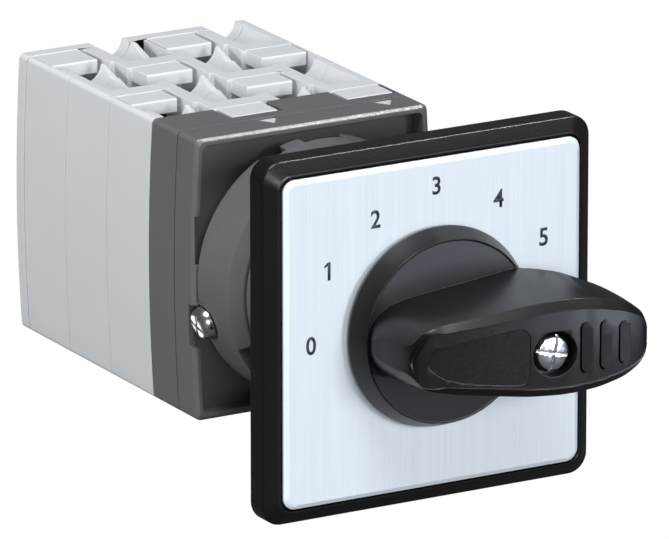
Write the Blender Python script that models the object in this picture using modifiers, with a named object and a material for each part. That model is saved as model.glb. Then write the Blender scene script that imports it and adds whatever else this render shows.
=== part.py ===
"""Cam switch with a front frame, a numbered legend plate, a lever handle and three contact decks.

The origin is on the axis of the switch shaft, in the plane of the panel's face. For someone
who faces the handle, +X is to the right and +Z up, and +Y runs back through the panel.
The handle stands at position 0, and one click is 30 degrees.
"""

from math import atan2, cos, hypot, pi, radians, sin, sqrt

import bmesh
import bpy
from mathutils import Matrix, Vector

MM = 0.001

# Fits
GAP = 0.3 * MM  # between two solids that meet
RUN = 0.4 * MM  # around what turns or slides
PAST = 1.0 * MM  # how far a cutter reaches beyond what it cuts

# Sides of the round pieces
LARGE_ROUND = 40
MIDDLE_ROUND = 28
SMALL_ROUND = 24
CHANNEL_ROUND = 16
PIN_ROUND = 12

# Faces that lean less than this from each other count as one
FLAT = radians(0.1)

# Positions of the switch
CLICK = radians(30)
LAST_POSITION = 5
TRAVEL = CLICK * LAST_POSITION

# Front frame
FRAME_SIDE = 64 * MM
FRAME_CORNER = 3.6 * MM
FRAME_STRAIGHT = 4.3 * MM
FRAME_DEPTH = 6.1 * MM
FRAME_WALL = 2.3 * MM
FRAME_WEB = 2.0 * MM
FRAME_BOSS = 24 * MM
FRAME_RIB = 1.6 * MM
RIB_COUNT = 4

# Legend plate
PLATE_SIDE = 57.9 * MM
PLATE_CORNER = 2.2 * MM
PLATE_THICKNESS = 1.0 * MM
PLATE_FACE = 6.7 * MM  # how far its face stands in front of the panel

# Rubber gasket between the frame and the panel
GASKET_INNER = 18.2 * MM
GASKET_OUTER = 22.4 * MM
GASKET_THICKNESS = 1.5 * MM
GASKET_PROUD = 0.6 * MM

# Neck that goes through the panel's 22.5 mm hole
NECK_RADIUS = 11 * MM
NECK_REAR = 19 * MM
NECK_FLANGE = 16 * MM
NECK_FLANGE_THICKNESS = 2.0 * MM
SPIGOT_RADIUS = 8.6 * MM
LUG_RADIUS = 13.2 * MM
LUG_WIDTH = 7 * MM
LUG_FRONT = 15.5 * MM
LUG_REAR = 18 * MM

# Ring nut behind the panel
NUT_FRONT = 6.2 * MM
NUT_THICKNESS = 4.7 * MM
NUT_RADIUS = 16.5 * MM
NUT_NOTCHES = 6
NUT_NOTCH_WIDTH = 3 * MM
NUT_NOTCH_DEPTH = 1.6 * MM

# Collar that turns onto the neck's lugs
COLLAR_RADIUS = 20.6 * MM
COLLAR_CHAMFER = 0.8 * MM

# Bayonet ring that the contact block plugs onto
RING_FRONT = 21.9 * MM
RING_RADIUS = 23.2 * MM
RING_CHAMFER_DEPTH = 1.8 * MM
RING_WALL = 3.7 * MM
RING_WEB = 3.3 * MM
RING_SPIGOT = 2.6 * MM
RING_NOTCHES = ((-23, 11), (2, 20))  # middle and width, in degrees from the top, to the right
RING_NOTCH_DEPTH = 2.6 * MM
RING_CUTAWAY = (-150, -115)  # where the front band is cut away, in degrees from the top

# Dark latching housing, in two shells
BODY_HALF_HEIGHT = 25.3 * MM
BODY_HALF_WIDTH = 22.98 * MM
BODY_BULGE = 0.85 * MM
BODY_CORNER = 0.9 * MM
SHELL_FRONT = 34.5 * MM
SHELL_SPLIT = 41.3 * MM
SHELL_REAR = 50.3 * MM
RIM_WIDTH = 1.4 * MM
RIM_DEPTH = 4.0 * MM
RIM_CHAMFER = 0.55 * MM
RIM_NOTCHES = ((3.0 * MM, 11.6 * MM), (-12.0 * MM, -4.3 * MM))
HUB_CLEARANCE = 2.5 * MM  # inside the bayonet ring
HUB_WALL = 2.5 * MM
HUB_FRONT = 26.5 * MM
BEARING_RADIUS = 7.5 * MM

# Locking screw in the side of the bayonet ring
LOCK_Y = 31.3 * MM
LOCK_Z = -6.7 * MM
LOCK_HEAD_RADIUS = 2.7 * MM
LOCK_HEAD_THICKNESS = 2.1 * MM
LOCK_HEAD_SINK = 0.2 * MM
LOCK_SHANK_RADIUS = 1.5 * MM
LOCK_TOP_RADIUS = 2.15 * MM
LOCK_RECESS = (2.0 * MM, 0.43 * MM)  # half its length and half its width

# Shaft
SHAFT_SIDE = 6.0 * MM
SHAFT_END_SINK = 1.2 * MM

# Star wheel and its two detents
STAR_RADIUS = 8.5 * MM
STAR_DEPTH = 1.2 * MM
STAR_THICKNESS = 4.0 * MM
DETENT_WIDTH = 7.0 * MM
DETENT_NOSE = 1.6 * MM

# Stop that ends the travel at both sides
STOP_THICKNESS = 2.4 * MM
STOP_HUB = 6.6 * MM
STOP_LUG = 9.0 * MM
STOP_LUG_HALF = radians(12)
STOP_BLOCK_HALF = radians(8)
STOP_PLAY = radians(1.5)
STOP_RING_WALL = 2.1 * MM
STOP_LUG_AT_REST = radians(195)

# Contact decks
DECKS = 3
DECK_LENGTH = 15.0 * MM
DECK_WEB = 2.0 * MM
COVER_THICKNESS = 2.8 * MM
OUTER_COLUMN = 5.73 * MM  # from the side to the middle of the outer terminal column
SIDE_WALL = 0.9 * MM

# Terminal openings in the top and the bottom of each deck
BAND_DEPTH = 3.9 * MM
TONGUE_CLEARANCE = 2.4 * MM  # from a tongue to the next column's
TONGUE_THICKNESS = 2.5 * MM
TONGUE_DROP = 0.1 * MM  # below the deck's top
TONGUE_REACH = 5.9 * MM
COVER_TONGUE_REACH = 7.4 * MM
TONGUE_SLIT = 0.8 * MM
PIT_START = 4.7 * MM
PIT_DEPTH = 11.1 * MM
COLUMN_WALL = 2.0 * MM
FIN_WALL = 0.8 * MM
FIN_SLOPE = 0.296
TROUGH_WIDTH = 2.0 * MM
TROUGH_DEPTH = 4.6 * MM
SHELL_PIT_DEPTH = 4.4 * MM
SCOOP_LENGTH = 4.0 * MM
SCOOP_RADIUS = 2.6 * MM

# Cams
CAM_RADIUS = 8.5 * MM
CAM_NOTCH = 1.8 * MM
CAM_NOTCH_HALF = radians(11)
CAM_THICKNESS = 11.8 * MM

# Contacts
CONTACT_WIDTH = 6.0 * MM
CONTACT_AT = 8.6 * MM  # from a deck's front face to the contact's near edge
STRIP_THICKNESS = 1.0 * MM
STRIP_INSET = 8.58 * MM  # from the side to the strip's inner face
STRIP_TIP = 5.5 * MM
CONTACT_OPEN = 1.2 * MM
BRIDGE_THICKNESS = 1.0 * MM
BRIDGE_HALF = 9.0 * MM
PLUNGER_HALF = 2.9 * MM
CHAMBER_END = 1.0 * MM  # beyond the bridge's end
CHAMBER_WALL = 2.0 * MM
CLAMP_WIDTH = 5.6 * MM
CLAMP_HEIGHT = 3.6 * MM
CLAMP_SCREW_RADIUS = 2.4 * MM
CLAMP_SCREW_HEAD = 1.9 * MM

# Springs
WIRE = 0.6 * MM
SPRING_RADIUS = 1.9 * MM
SPRING_TURNS = 3.5
SPRING_STEPS = 6

# Tie bolts
BOLT_WALL = 0.5 * MM
BOLT_RADIUS = 1.5 * MM
BOLT_HEAD_RADIUS = 2.7 * MM
BOLT_HEAD_THICKNESS = 1.4 * MM
BOLT_SLOT = 0.6 * MM

# Handle: the disc
DISC_RADIUS = 17.7 * MM
DISC_FACE_RADIUS = 16.2 * MM
DISC_HEIGHT = 5.5 * MM
DISC_EDGE = 1.7 * MM
DISC_LIFT = 0.4 * MM
DISC_DRAFT = 0.6 * MM

# Handle: the grip, from nose to tail. Each station has its place along the grip, the
# half-widths at the foot and at the face, and the heights of the underside and the face.
GRIP_STATIONS = (
    (-15.4, 1.6, 0.9, 5.2, 14.6),
    (-14.4, 3.2, 2.3, 5.2, 16.6),
    (-12.7, 5.0, 3.9, 5.2, 18.1),
    (-10.3, 6.2, 5.2, 5.2, 19.3),
    (-7.1, 6.9, 6.1, 5.2, 20.4),
    (-1.3, 7.6, 7.1, 5.2, 21.8),
    (5.5, 8.3, 8.0, 5.2, 23.0),
    (10.5, 8.8, 8.3, 5.2, 23.7),
    (13.0, 9.0, 8.3, 6.0, 24.0),
    (17.3, 8.9, 8.0, 10.4, 24.4),
    (20.0, 8.4, 7.5, 12.6, 24.6),
    (23.5, 7.2, 6.5, 15.6, 24.7),
    (26.2, 5.4, 4.9, 18.4, 24.5),
    (28.0, 3.0, 2.6, 20.4, 23.9),
)
GRIP_EDGE = 1.4 * MM
GRIP_CROWN = 0.25 * MM
GRIP_FLANK = (0.25, 0.3)  # where the flank bends: share of its lean and of its height
GRIP_EDGE_SHARES = (0.6, 0.3)  # of a narrow face, and of the edge at its bevel's middle
GRIP_GROOVES = 3
GROOVE_X = 17.0 * MM
GROOVE_PITCH = 3.8 * MM
GROOVE_RADIUS = 1.2 * MM
GROOVE_DEPTH = 0.7 * MM
GROOVE_HALF_LENGTH = 4.85 * MM

# Handle: its carrier and screw
CARRIER_RADIUS = 14.4 * MM
CARRIER_FRONT = 4.4 * MM
CARRIER_BACK = 0.6 * MM
BOSS_X = 10.0 * MM
BOSS_Z = -0.7 * MM
BOSS_RADIUS = 3.2 * MM
BOSS_HEIGHT = 12.0 * MM
SCREW_HEAD_RADIUS = 3.3 * MM
SCREW_HEAD_THICKNESS = 2.0 * MM
SCREW_HEAD_SINK = 0.8 * MM
SCREW_WELL_RADIUS = 4.0 * MM
SCREW_SHANK_RADIUS = 1.5 * MM
SCREW_TIP = 6.2 * MM
SCREW_TOP_RADIUS = 2.7 * MM
SCREW_RECESS = (2.0 * MM, 0.46 * MM)  # half its length and half its width
SCREW_RECESS_DEPTH = 1.2 * MM

# Places worked out from the sizes above
SEAT_FRONT = PLATE_FACE - PLATE_THICKNESS - GAP
WEB_BACK = SEAT_FRONT - FRAME_WEB
COLUMN_STEPS = (-1.5, -0.5, 0.5, 1.5)
COLUMN_PITCH = (BODY_HALF_WIDTH - OUTER_COLUMN) / COLUMN_STEPS[-1]
COLUMNS = tuple(COLUMN_PITCH * step for step in COLUMN_STEPS)
CHANNEL_RADIUS = (COLUMN_PITCH - FIN_WALL - TROUGH_WIDTH - COLUMN_WALL) / 2
TONGUE_WIDTH = COLUMN_PITCH - TONGUE_CLEARANCE
PIT_FLOOR = BODY_HALF_HEIGHT - PIT_DEPTH
HUB_RADIUS = RING_RADIUS - RING_WALL - HUB_CLEARANCE
STRIP_X = BODY_HALF_WIDTH - STRIP_INSET
CHAMBER_HALF = BRIDGE_HALF + CHAMBER_END
DECK_PITCH = DECK_LENGTH + GAP
FIRST_DECK = SHELL_REAR + GAP
COVER_FRONT = FIRST_DECK + DECKS * DECK_PITCH
COVER_REAR = COVER_FRONT + COVER_THICKNESS
PIT_LIMIT = BODY_HALF_WIDTH - SIDE_WALL
SHAFT_CORNER = hypot(SHAFT_SIDE, SHAFT_SIDE) / 2
SHAFT_BORE = SHAFT_CORNER + RUN
SHAFT_REAR = COVER_REAR - SHAFT_END_SINK - GAP
STAR_FRONT = SHELL_SPLIT + GAP + RUN
STAR_REAR = STAR_FRONT + STAR_THICKNESS
STOP_FRONT = STAR_REAR + RUN
STOP_REAR = STOP_FRONT + STOP_THICKNESS
BRIDGE_X = STRIP_X + STRIP_THICKNESS + CONTACT_OPEN
SPRING_END = BODY_HALF_WIDTH + BODY_BULGE - CHAMBER_WALL
DETENT_BACK = (STAR_RADIUS + SPRING_END) / 2
STOP_CHAMBER = STOP_LUG + RUN + STOP_RING_WALL + GAP

# The bolts stand round the stop's chamber, towards the corner between contacts and pits
BOLT_ROOM = BOLT_RADIUS + GAP
BOLT_CIRCLE = STOP_CHAMBER + BOLT_WALL + BOLT_ROOM
BOLT_ANGLE = atan2(PIT_FLOOR - BOLT_ROOM, STRIP_X - RUN - BOLT_ROOM)
BOLT_X = BOLT_CIRCLE * cos(BOLT_ANGLE)
BOLT_Z = BOLT_CIRCLE * sin(BOLT_ANGLE)


def clear_scene():
    for old in list(bpy.data.objects):
        bpy.data.objects.remove(old, do_unlink=True)


def new_collection(name):
    group = bpy.data.collections.new(name)
    bpy.context.scene.collection.children.link(group)
    return group


def finish(name, colour, roughness, metallic=0.0):
    """A Principled material; the colour is sRGB hex."""
    material = bpy.data.materials.new(name)
    material.use_nodes = True
    shader = material.node_tree.nodes["Principled BSDF"]
    values = [int(colour[i : i + 2], 16) / 255 for i in (0, 2, 4)]
    linear = [v / 12.92 if v <= 0.04045 else ((v + 0.055) / 1.055) ** 2.4 for v in values]
    shader.inputs["Base Color"].default_value = (*linear, 1)
    shader.inputs["Roughness"].default_value = roughness
    shader.inputs["Metallic"].default_value = metallic
    material.diffuse_color = (*linear, 1)
    return material


def add_part(name, mesh, material):
    part = bpy.data.objects.new(name, mesh)
    parts.objects.link(part)
    mesh.materials.clear()
    mesh.materials.append(material)
    return part


def add_cutter(name, mesh):
    cutter = bpy.data.objects.new("cut " + name, mesh)
    cutters.objects.link(cutter)
    cutter.hide_render = True
    cutter.display_type = "WIRE"
    return cutter


def boolean(target, tool, operation):
    modifier = target.modifiers.new(f"{operation} {tool.name}", "BOOLEAN")
    modifier.operation = operation
    modifier.object = tool


def cut(target, name, *meshes):
    for mesh in meshes:
        boolean(target, add_cutter(name, mesh), "DIFFERENCE")


def join(target, name, *meshes):
    for mesh in meshes:
        boolean(target, add_cutter(name, mesh), "UNION")


def mesh_from(bm, name):
    mesh = bpy.data.meshes.new(name)
    bm.to_mesh(mesh)
    bm.free()
    return mesh


def box(low, high, turn=0.0):
    """A box between two corners, turned about the shaft's axis."""
    bm = bmesh.new()
    low, high = Vector(low), Vector(high)
    size = Matrix.Diagonal((*(high - low), 1))
    place = Matrix.Rotation(turn, 4, "Y") @ Matrix.Translation((low + high) / 2) @ size
    bmesh.ops.create_cube(bm, size=1, matrix=place)
    return mesh_from(bm, "box")


def rod(start, end, radius, end_radius=None, sides=SMALL_ROUND):
    """A cylinder or cone from one point to another."""
    bm = bmesh.new()
    start, end = Vector(start), Vector(end)
    along = end - start
    place = Matrix.Translation((start + end) / 2) @ along.to_track_quat("Z", "Y").to_matrix().to_4x4()
    bmesh.ops.create_cone(
        bm,
        cap_ends=True,
        segments=sides,
        radius1=radius,
        radius2=radius if end_radius is None else end_radius,
        depth=along.length,
        matrix=place,
    )
    return mesh_from(bm, "rod")


def outline_solid(points, front, rear):
    """A flat outline of (x, z) points, as thick as from front to rear along Y."""
    curve = bpy.data.curves.new("outline", "CURVE")
    curve.dimensions = "2D"
    curve.fill_mode = "BOTH"
    curve.extrude = (rear - front) / 2
    spline = curve.splines.new("POLY")
    spline.points.add(len(points) - 1)
    for point, (x, z) in zip(spline.points, points):
        point.co = (x, z, 0, 1)
    spline.use_cyclic_u = True
    place = Matrix.Translation((0, (front + rear) / 2, 0)) @ Matrix.Rotation(pi / 2, 4, "X")
    return curve_mesh(curve, place)


def curve_mesh(curve, place):
    """The mesh of a curve, with its loose caps welded to its sides."""
    holder = bpy.data.objects.new("outline", curve)
    cutters.objects.link(holder)
    bpy.context.view_layer.update()
    evaluated = holder.evaluated_get(bpy.context.evaluated_depsgraph_get())
    mesh = bpy.data.meshes.new_from_object(evaluated)
    bpy.data.objects.remove(holder)
    bm = bmesh.new()
    bm.from_mesh(mesh)
    bmesh.ops.remove_doubles(bm, verts=bm.verts, dist=0.00001)
    bmesh.ops.transform(bm, matrix=place, verts=bm.verts)
    bmesh.ops.dissolve_limit(bm, angle_limit=FLAT, verts=bm.verts, edges=bm.edges)
    bmesh.ops.recalc_face_normals(bm, faces=bm.faces)
    bm.to_mesh(mesh)
    bm.free()
    return mesh


def turned(name, profile, material, steps=LARGE_ROUND):
    """A part turned about the shaft's axis from (radius, y) points that close on themselves."""
    area = sum(a[0] * b[1] - b[0] * a[1] for a, b in zip(profile, profile[1:] + profile[:1]))
    points = profile if area < 0 else profile[::-1]
    mesh = bpy.data.meshes.new(name)
    edges = [(i, (i + 1) % len(points)) for i in range(len(points))]
    mesh.from_pydata([(r, 0, y) for r, y in points], edges, [])
    part = add_part(name, mesh, material)
    part.rotation_euler = (-pi / 2, 0, 0)
    screw = part.modifiers.new("Turn", "SCREW")
    screw.steps = screw.render_steps = steps
    screw.use_merge_vertices = True
    screw.merge_threshold = 0.00001
    return part


def loft(rings):
    """A closed skin through rings of equally many points, capped at both ends."""
    bm = bmesh.new()
    rows = [[bm.verts.new(point) for point in ring] for ring in rings]
    for first, second in zip(rows, rows[1:]):
        for i in range(len(first)):
            j = (i + 1) % len(first)
            bm.faces.new((first[i], first[j], second[j], second[i]))
    bm.faces.new(rows[0])
    bm.faces.new(rows[-1][::-1])
    bmesh.ops.recalc_face_normals(bm, faces=bm.faces)
    return mesh_from(bm, "loft")


def rounded_square(side, corner, steps=4):
    points = []
    for quarter in range(4):
        for step in range(steps + 1):
            angle = pi / 2 * (quarter + step / steps)
            turn = pi / 2 * quarter
            reach = side / 2 - corner
            middle_x = reach * (cos(turn) - sin(turn))
            middle_z = reach * (sin(turn) + cos(turn))
            points.append((middle_x + corner * cos(angle), middle_z + corner * sin(angle)))
    return points


def body_half_width(z):
    return BODY_HALF_WIDTH + BODY_BULGE * (1 - (z / BODY_HALF_HEIGHT) ** 2)


def body_outline(inset=0.0, steps=4):
    """The contact block's outline: flat top and bottom, and sides that swell a little."""
    reach = BODY_HALF_HEIGHT - inset
    corner = BODY_CORNER
    right = []
    for step in range(steps + 1):
        z = (reach - corner) * (2 * step / steps - 1)
        right.append((body_half_width(z) - inset, z))
    top = [(body_half_width(reach) - inset - corner, reach)]
    bottom = [(body_half_width(reach) - inset - corner, -reach)]
    half = bottom + right + top
    return half + [(-x, z) for x, z in reversed(half)]


def polar(angle, radius):
    """The (x, z) point at an angle from the top, turning to the right."""
    return radius * sin(angle), radius * cos(angle)


def circle(radius, y, sides):
    """Points of a circle round the shaft's axis."""
    turns = [2 * pi * i / sides for i in range(sides)]
    return [(radius * sin(turn), y, radius * cos(turn)) for turn in turns]


def shaft_hole(front, rear):
    half = SHAFT_SIDE / 2 + GAP
    return box((-half, front, -half), (half, rear, half))


def coil(name, start_x, end_x, y, material):
    """A compression spring along X."""
    curve = bpy.data.curves.new(name, "CURVE")
    curve.dimensions = "3D"
    curve.bevel_depth = WIRE / 2
    curve.bevel_resolution = 0
    curve.use_fill_caps = True
    count = round(SPRING_TURNS * SPRING_STEPS)
    spline = curve.splines.new("POLY")
    spline.points.add(count)
    for i, point in enumerate(spline.points):
        angle = 2 * pi * i / SPRING_STEPS
        x = start_x + (end_x - start_x) * i / count
        point.co = (x, y + SPRING_RADIUS * cos(angle), SPRING_RADIUS * sin(angle), 1)
    spring = bpy.data.objects.new(name, curve)
    curve.materials.append(material)
    parts.objects.link(spring)
    return spring


def make_front_frame(material):
    """Square frame, hollow behind, with a boss and ribs that press on the panel."""
    inner = FRAME_SIDE - 2 * FRAME_WALL
    rings = [
        [(x, -depth, z) for x, z in rounded_square(side, corner)]
        for side, corner, depth in (
            (FRAME_SIDE, FRAME_CORNER, 0),
            (FRAME_SIDE, FRAME_CORNER, FRAME_STRAIGHT),
            (inner, FRAME_CORNER - FRAME_WALL / 2, FRAME_DEPTH),
        )
    ]
    frame = add_part("front_frame", loft(rings), material)
    seat = rounded_square(PLATE_SIDE + 2 * GAP, PLATE_CORNER)
    cut(frame, "plate seat", outline_solid(seat, -FRAME_DEPTH - PAST, -SEAT_FRONT))
    hollow = rounded_square(inner, FRAME_CORNER - FRAME_WALL / 2)
    cavity = add_cutter("frame cavity", outline_solid(hollow, -WEB_BACK, PAST))
    boss = rod((0, -WEB_BACK - PAST, 0), (0, 2 * PAST, 0), FRAME_BOSS, sides=LARGE_ROUND)
    cut(cavity, "frame boss", boss)
    low = (-FRAME_SIDE, -WEB_BACK - PAST, -FRAME_RIB / 2)
    high = (FRAME_SIDE, 2 * PAST, FRAME_RIB / 2)
    for rib in range(RIB_COUNT):
        cut(cavity, "frame rib", box(low, high, pi * rib / RIB_COUNT))
    boolean(frame, cavity, "DIFFERENCE")
    flange_seat = rod((0, -WEB_BACK, 0), (0, PAST, 0), NECK_FLANGE + GAP, sides=MIDDLE_ROUND)
    cut(frame, "flange seat", flange_seat)
    cut(frame, "spigot hole", rod((0, -FRAME_DEPTH, 0), (0, 0, 0), SPIGOT_RADIUS + GAP))
    groove_front = GASKET_PROUD - GASKET_THICKNESS - GAP
    groove = disc_ring(GASKET_INNER - GAP, GASKET_OUTER + GAP, groove_front, PAST)
    cut(frame, "gasket groove", groove)
    return frame


def disc_ring(inner, outer, front, rear, sides=MIDDLE_ROUND):
    """A flat ring round the shaft's axis, as a mesh."""
    bm = bmesh.new()
    rows = []
    for radius, y in ((inner, front), (outer, front), (outer, rear), (inner, rear)):
        rows.append([bm.verts.new(point) for point in circle(radius, y, sides)])
    for here, after in zip(rows, rows[1:] + rows[:1]):
        for i in range(sides):
            j = (i + 1) % sides
            bm.faces.new((here[i], here[j], after[j], after[i]))
    bmesh.ops.recalc_face_normals(bm, faces=bm.faces)
    return mesh_from(bm, "ring")


def make_legend_plate(material):
    outline = rounded_square(PLATE_SIDE, PLATE_CORNER)
    sheet = outline_solid(outline, -PLATE_FACE, PLATE_THICKNESS - PLATE_FACE)
    plate = add_part("legend_plate", sheet, material)
    cut(plate, "plate hole", rod((0, -PLATE_FACE - PAST, 0), (0, 0, 0), SPIGOT_RADIUS + GAP))
    return plate


def make_gasket(material):
    front = GASKET_PROUD - GASKET_THICKNESS
    return add_part("panel_gasket", disc_ring(GASKET_INNER, GASKET_OUTER, front, GASKET_PROUD), material)


def make_neck(material):
    """Tube through the panel, with a flange in the frame and two bayonet lugs behind."""
    flange_front = GAP - WEB_BACK
    flange_rear = flange_front + NECK_FLANGE_THICKNESS
    spigot_front = PLATE_THICKNESS / 2 - PLATE_FACE
    profile = [
        (SHAFT_BORE, spigot_front),
        (SPIGOT_RADIUS, spigot_front),
        (SPIGOT_RADIUS, flange_front),
        (NECK_FLANGE, flange_front),
        (NECK_FLANGE, flange_rear),
        (NECK_RADIUS, flange_rear),
        (NECK_RADIUS, NECK_REAR),
        (SHAFT_BORE, NECK_REAR),
    ]
    neck = turned("neck_sleeve", profile, material, MIDDLE_ROUND)
    for side in (-1, 1):
        inner = side * (NECK_RADIUS - PAST)
        outer = side * LUG_RADIUS
        low = (min(inner, outer), LUG_FRONT, -LUG_WIDTH / 2)
        high = (max(inner, outer), LUG_REAR, LUG_WIDTH / 2)
        join(neck, "neck lug", box(low, high))
    return neck


def make_ring_nut(material):
    inner = NECK_RADIUS + GAP
    rear = NUT_FRONT + NUT_THICKNESS
    chamfer = COLLAR_CHAMFER
    profile = [
        (inner, NUT_FRONT),
        (NUT_RADIUS, NUT_FRONT),
        (NUT_RADIUS, rear - chamfer),
        (NUT_RADIUS - chamfer, rear),
        (inner, rear),
    ]
    nut = turned("ring_nut", profile, material, MIDDLE_ROUND)
    for notch in range(NUT_NOTCHES):
        low = (NUT_RADIUS - NUT_NOTCH_DEPTH, NUT_FRONT - PAST, -NUT_NOTCH_WIDTH / 2)
        high = (NUT_RADIUS + PAST, rear + PAST, NUT_NOTCH_WIDTH / 2)
        cut(nut, "nut notch", box(low, high, 2 * pi * (notch + 0.5) / NUT_NOTCHES))
    return nut


def make_collar(material):
    """Cup that turns behind the neck's lugs; its web has the two ways in for them."""
    front = NUT_FRONT + NUT_THICKNESS + GAP
    lug_reach = hypot(LUG_RADIUS, LUG_WIDTH / 2)
    bore = lug_reach + GAP
    web_rear = LUG_FRONT - GAP
    rear = RING_FRONT - GAP
    profile = [
        (NECK_RADIUS + GAP, front),
        (COLLAR_RADIUS - COLLAR_CHAMFER, front),
        (COLLAR_RADIUS, front + COLLAR_CHAMFER),
        (COLLAR_RADIUS, rear),
        (bore, rear),
        (bore, web_rear),
        (NECK_RADIUS + GAP, web_rear),
    ]
    collar = turned("bayonet_collar", profile, material)
    half = LUG_WIDTH / 2 + GAP
    for side in (-1, 1):
        ends = sorted((side * NECK_RADIUS, side * (bore - GAP)))
        cut(collar, "lug entry", box((-half, front - PAST, ends[0]), (half, web_rear + PAST, ends[1])))
    return collar


def make_bayonet_ring(material):
    """Large ring on the back of the collar; the contact block's hub plugs into it."""
    spigot = hypot(LUG_RADIUS, LUG_WIDTH / 2)
    rear = SHELL_FRONT - GAP
    cavity = RING_RADIUS - RING_WALL
    profile = [
        (SHAFT_BORE, RING_FRONT - RING_SPIGOT),
        (spigot, RING_FRONT - RING_SPIGOT),
        (spigot, RING_FRONT),
        (COLLAR_RADIUS + GAP, RING_FRONT),
        (RING_RADIUS, RING_FRONT + RING_CHAMFER_DEPTH),
        (RING_RADIUS, rear),
        (cavity, rear),
        (cavity, RING_FRONT + RING_WEB),
        (SHAFT_BORE, RING_FRONT + RING_WEB),
    ]
    ring = turned("bayonet_ring", profile, material)
    for middle, width in RING_NOTCHES:
        half = RING_RADIUS * sin(radians(width / 2))
        low = (-half, rear - RING_NOTCH_DEPTH, cavity + GAP)
        high = (half, rear + PAST, RING_RADIUS + PAST)
        cut(ring, "ring notch", box(low, high, radians(middle)))
    first, last = (radians(angle) for angle in RING_CUTAWAY)
    far = 2 * RING_RADIUS
    wedge = [polar(first, COLLAR_RADIUS), polar(last, COLLAR_RADIUS)]
    wedge += [polar(last, far), polar((first + last) / 2, far), polar(first, far)]
    cutaway = outline_solid(wedge, RING_FRONT - PAST, RING_FRONT + RING_CHAMFER_DEPTH)
    cut(ring, "ring cutaway", cutaway)
    outside = (-far, LOCK_Y, LOCK_Z)
    inside = (-HUB_RADIUS, LOCK_Y, LOCK_Z)
    cut(ring, "lock hole", rod(outside, inside, LOCK_SHANK_RADIUS + GAP, sides=PIN_ROUND))
    seat = (lock_seat(), LOCK_Y, LOCK_Z)
    cut(ring, "lock head seat", rod(outside, seat, LOCK_HEAD_RADIUS + RUN))
    return ring


def lock_seat():
    """The X of the flat that the locking screw's head bears on."""
    return -(sqrt(RING_RADIUS**2 - LOCK_Z**2) - LOCK_HEAD_SINK)


def make_locking_screw(material):
    head_back = lock_seat() - GAP
    head_front = head_back - LOCK_HEAD_THICKNESS
    tip = -(sqrt(HUB_RADIUS**2 - (abs(LOCK_Z) - LOCK_SHANK_RADIUS) ** 2) + GAP)
    back = (head_back, LOCK_Y, LOCK_Z)
    head = rod(back, (head_front, LOCK_Y, LOCK_Z), LOCK_HEAD_RADIUS, LOCK_TOP_RADIUS)
    screw = add_part("locking_screw", head, material)
    start = (head_back - GAP, LOCK_Y, LOCK_Z)
    join(screw, "lock shank", rod(start, (tip, LOCK_Y, LOCK_Z), LOCK_SHANK_RADIUS, sides=PIN_ROUND))
    for y, z in (LOCK_RECESS, LOCK_RECESS[::-1]):
        low = (head_front - PAST, LOCK_Y - y, LOCK_Z - z)
        high = (head_front + LOCK_HEAD_THICKNESS / 2, LOCK_Y + y, LOCK_Z + z)
        cut(screw, "lock recess", box(low, high))
    return screw


def bolt_holes(front, rear):
    places = [(side * BOLT_X, -side * BOLT_Z) for side in (-1, 1)]
    return [rod((x, front, z), (x, rear, z), BOLT_RADIUS + GAP, sides=PIN_ROUND) for x, z in places]


def make_front_shell(material):
    """Front half of the latching housing: a rim, a sunk face, and the hub of the bayonet."""
    sections = ((RIM_CHAMFER, SHELL_FRONT), (0, SHELL_FRONT + RIM_CHAMFER), (0, SHELL_SPLIT - GAP / 2))
    rings = [[(x, y, z) for x, z in body_outline(inset)] for inset, y in sections]
    shell = add_part("mech_cover", loft(rings), material)
    floor = SHELL_FRONT + RIM_DEPTH
    cut(shell, "rim recess", outline_solid(body_outline(RIM_WIDTH), SHELL_FRONT - PAST, floor))
    for low_z, high_z in RIM_NOTCHES:
        low = (-BODY_HALF_WIDTH, SHELL_FRONT - PAST, low_z)
        high = (RIM_WIDTH + PAST - BODY_HALF_WIDTH, floor - GAP, high_z)
        cut(shell, "rim notch", box(low, high))
    hub = add_cutter("hub", rod((0, HUB_FRONT, 0), (0, floor + PAST, 0), HUB_RADIUS, sides=LARGE_ROUND))
    bore = rod((0, HUB_FRONT - PAST, 0), (0, floor, 0), HUB_RADIUS - HUB_WALL, sides=MIDDLE_ROUND)
    cut(hub, "hub bore", bore)
    boolean(shell, hub, "UNION")
    join(shell, "bearing", rod((0, HUB_FRONT, 0), (0, floor + PAST, 0), BEARING_RADIUS))
    cut(shell, "shaft bore", rod((0, HUB_FRONT - PAST, 0), (0, SHELL_REAR, 0), SHAFT_BORE))
    for column in top_columns(even=True):
        for level in (1, -1):
            x, z = level * column, level * BODY_HALF_HEIGHT
            rear = SHELL_SPLIT + GAP
            scoop = rod((x, rear - SCOOP_LENGTH, z), (x, rear, z), GAP / 2, SCOOP_RADIUS, PIN_ROUND)
            cut(shell, "scoop", scoop)
    cut(shell, "bolt hole", *bolt_holes(floor + FRAME_WEB / 2, SHELL_SPLIT + PAST))
    return shell


def top_columns(even):
    """The columns whose tongues spring from an even deck's front, or from an odd one's."""
    return COLUMNS[1::2] if even else COLUMNS[0::2]


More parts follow.
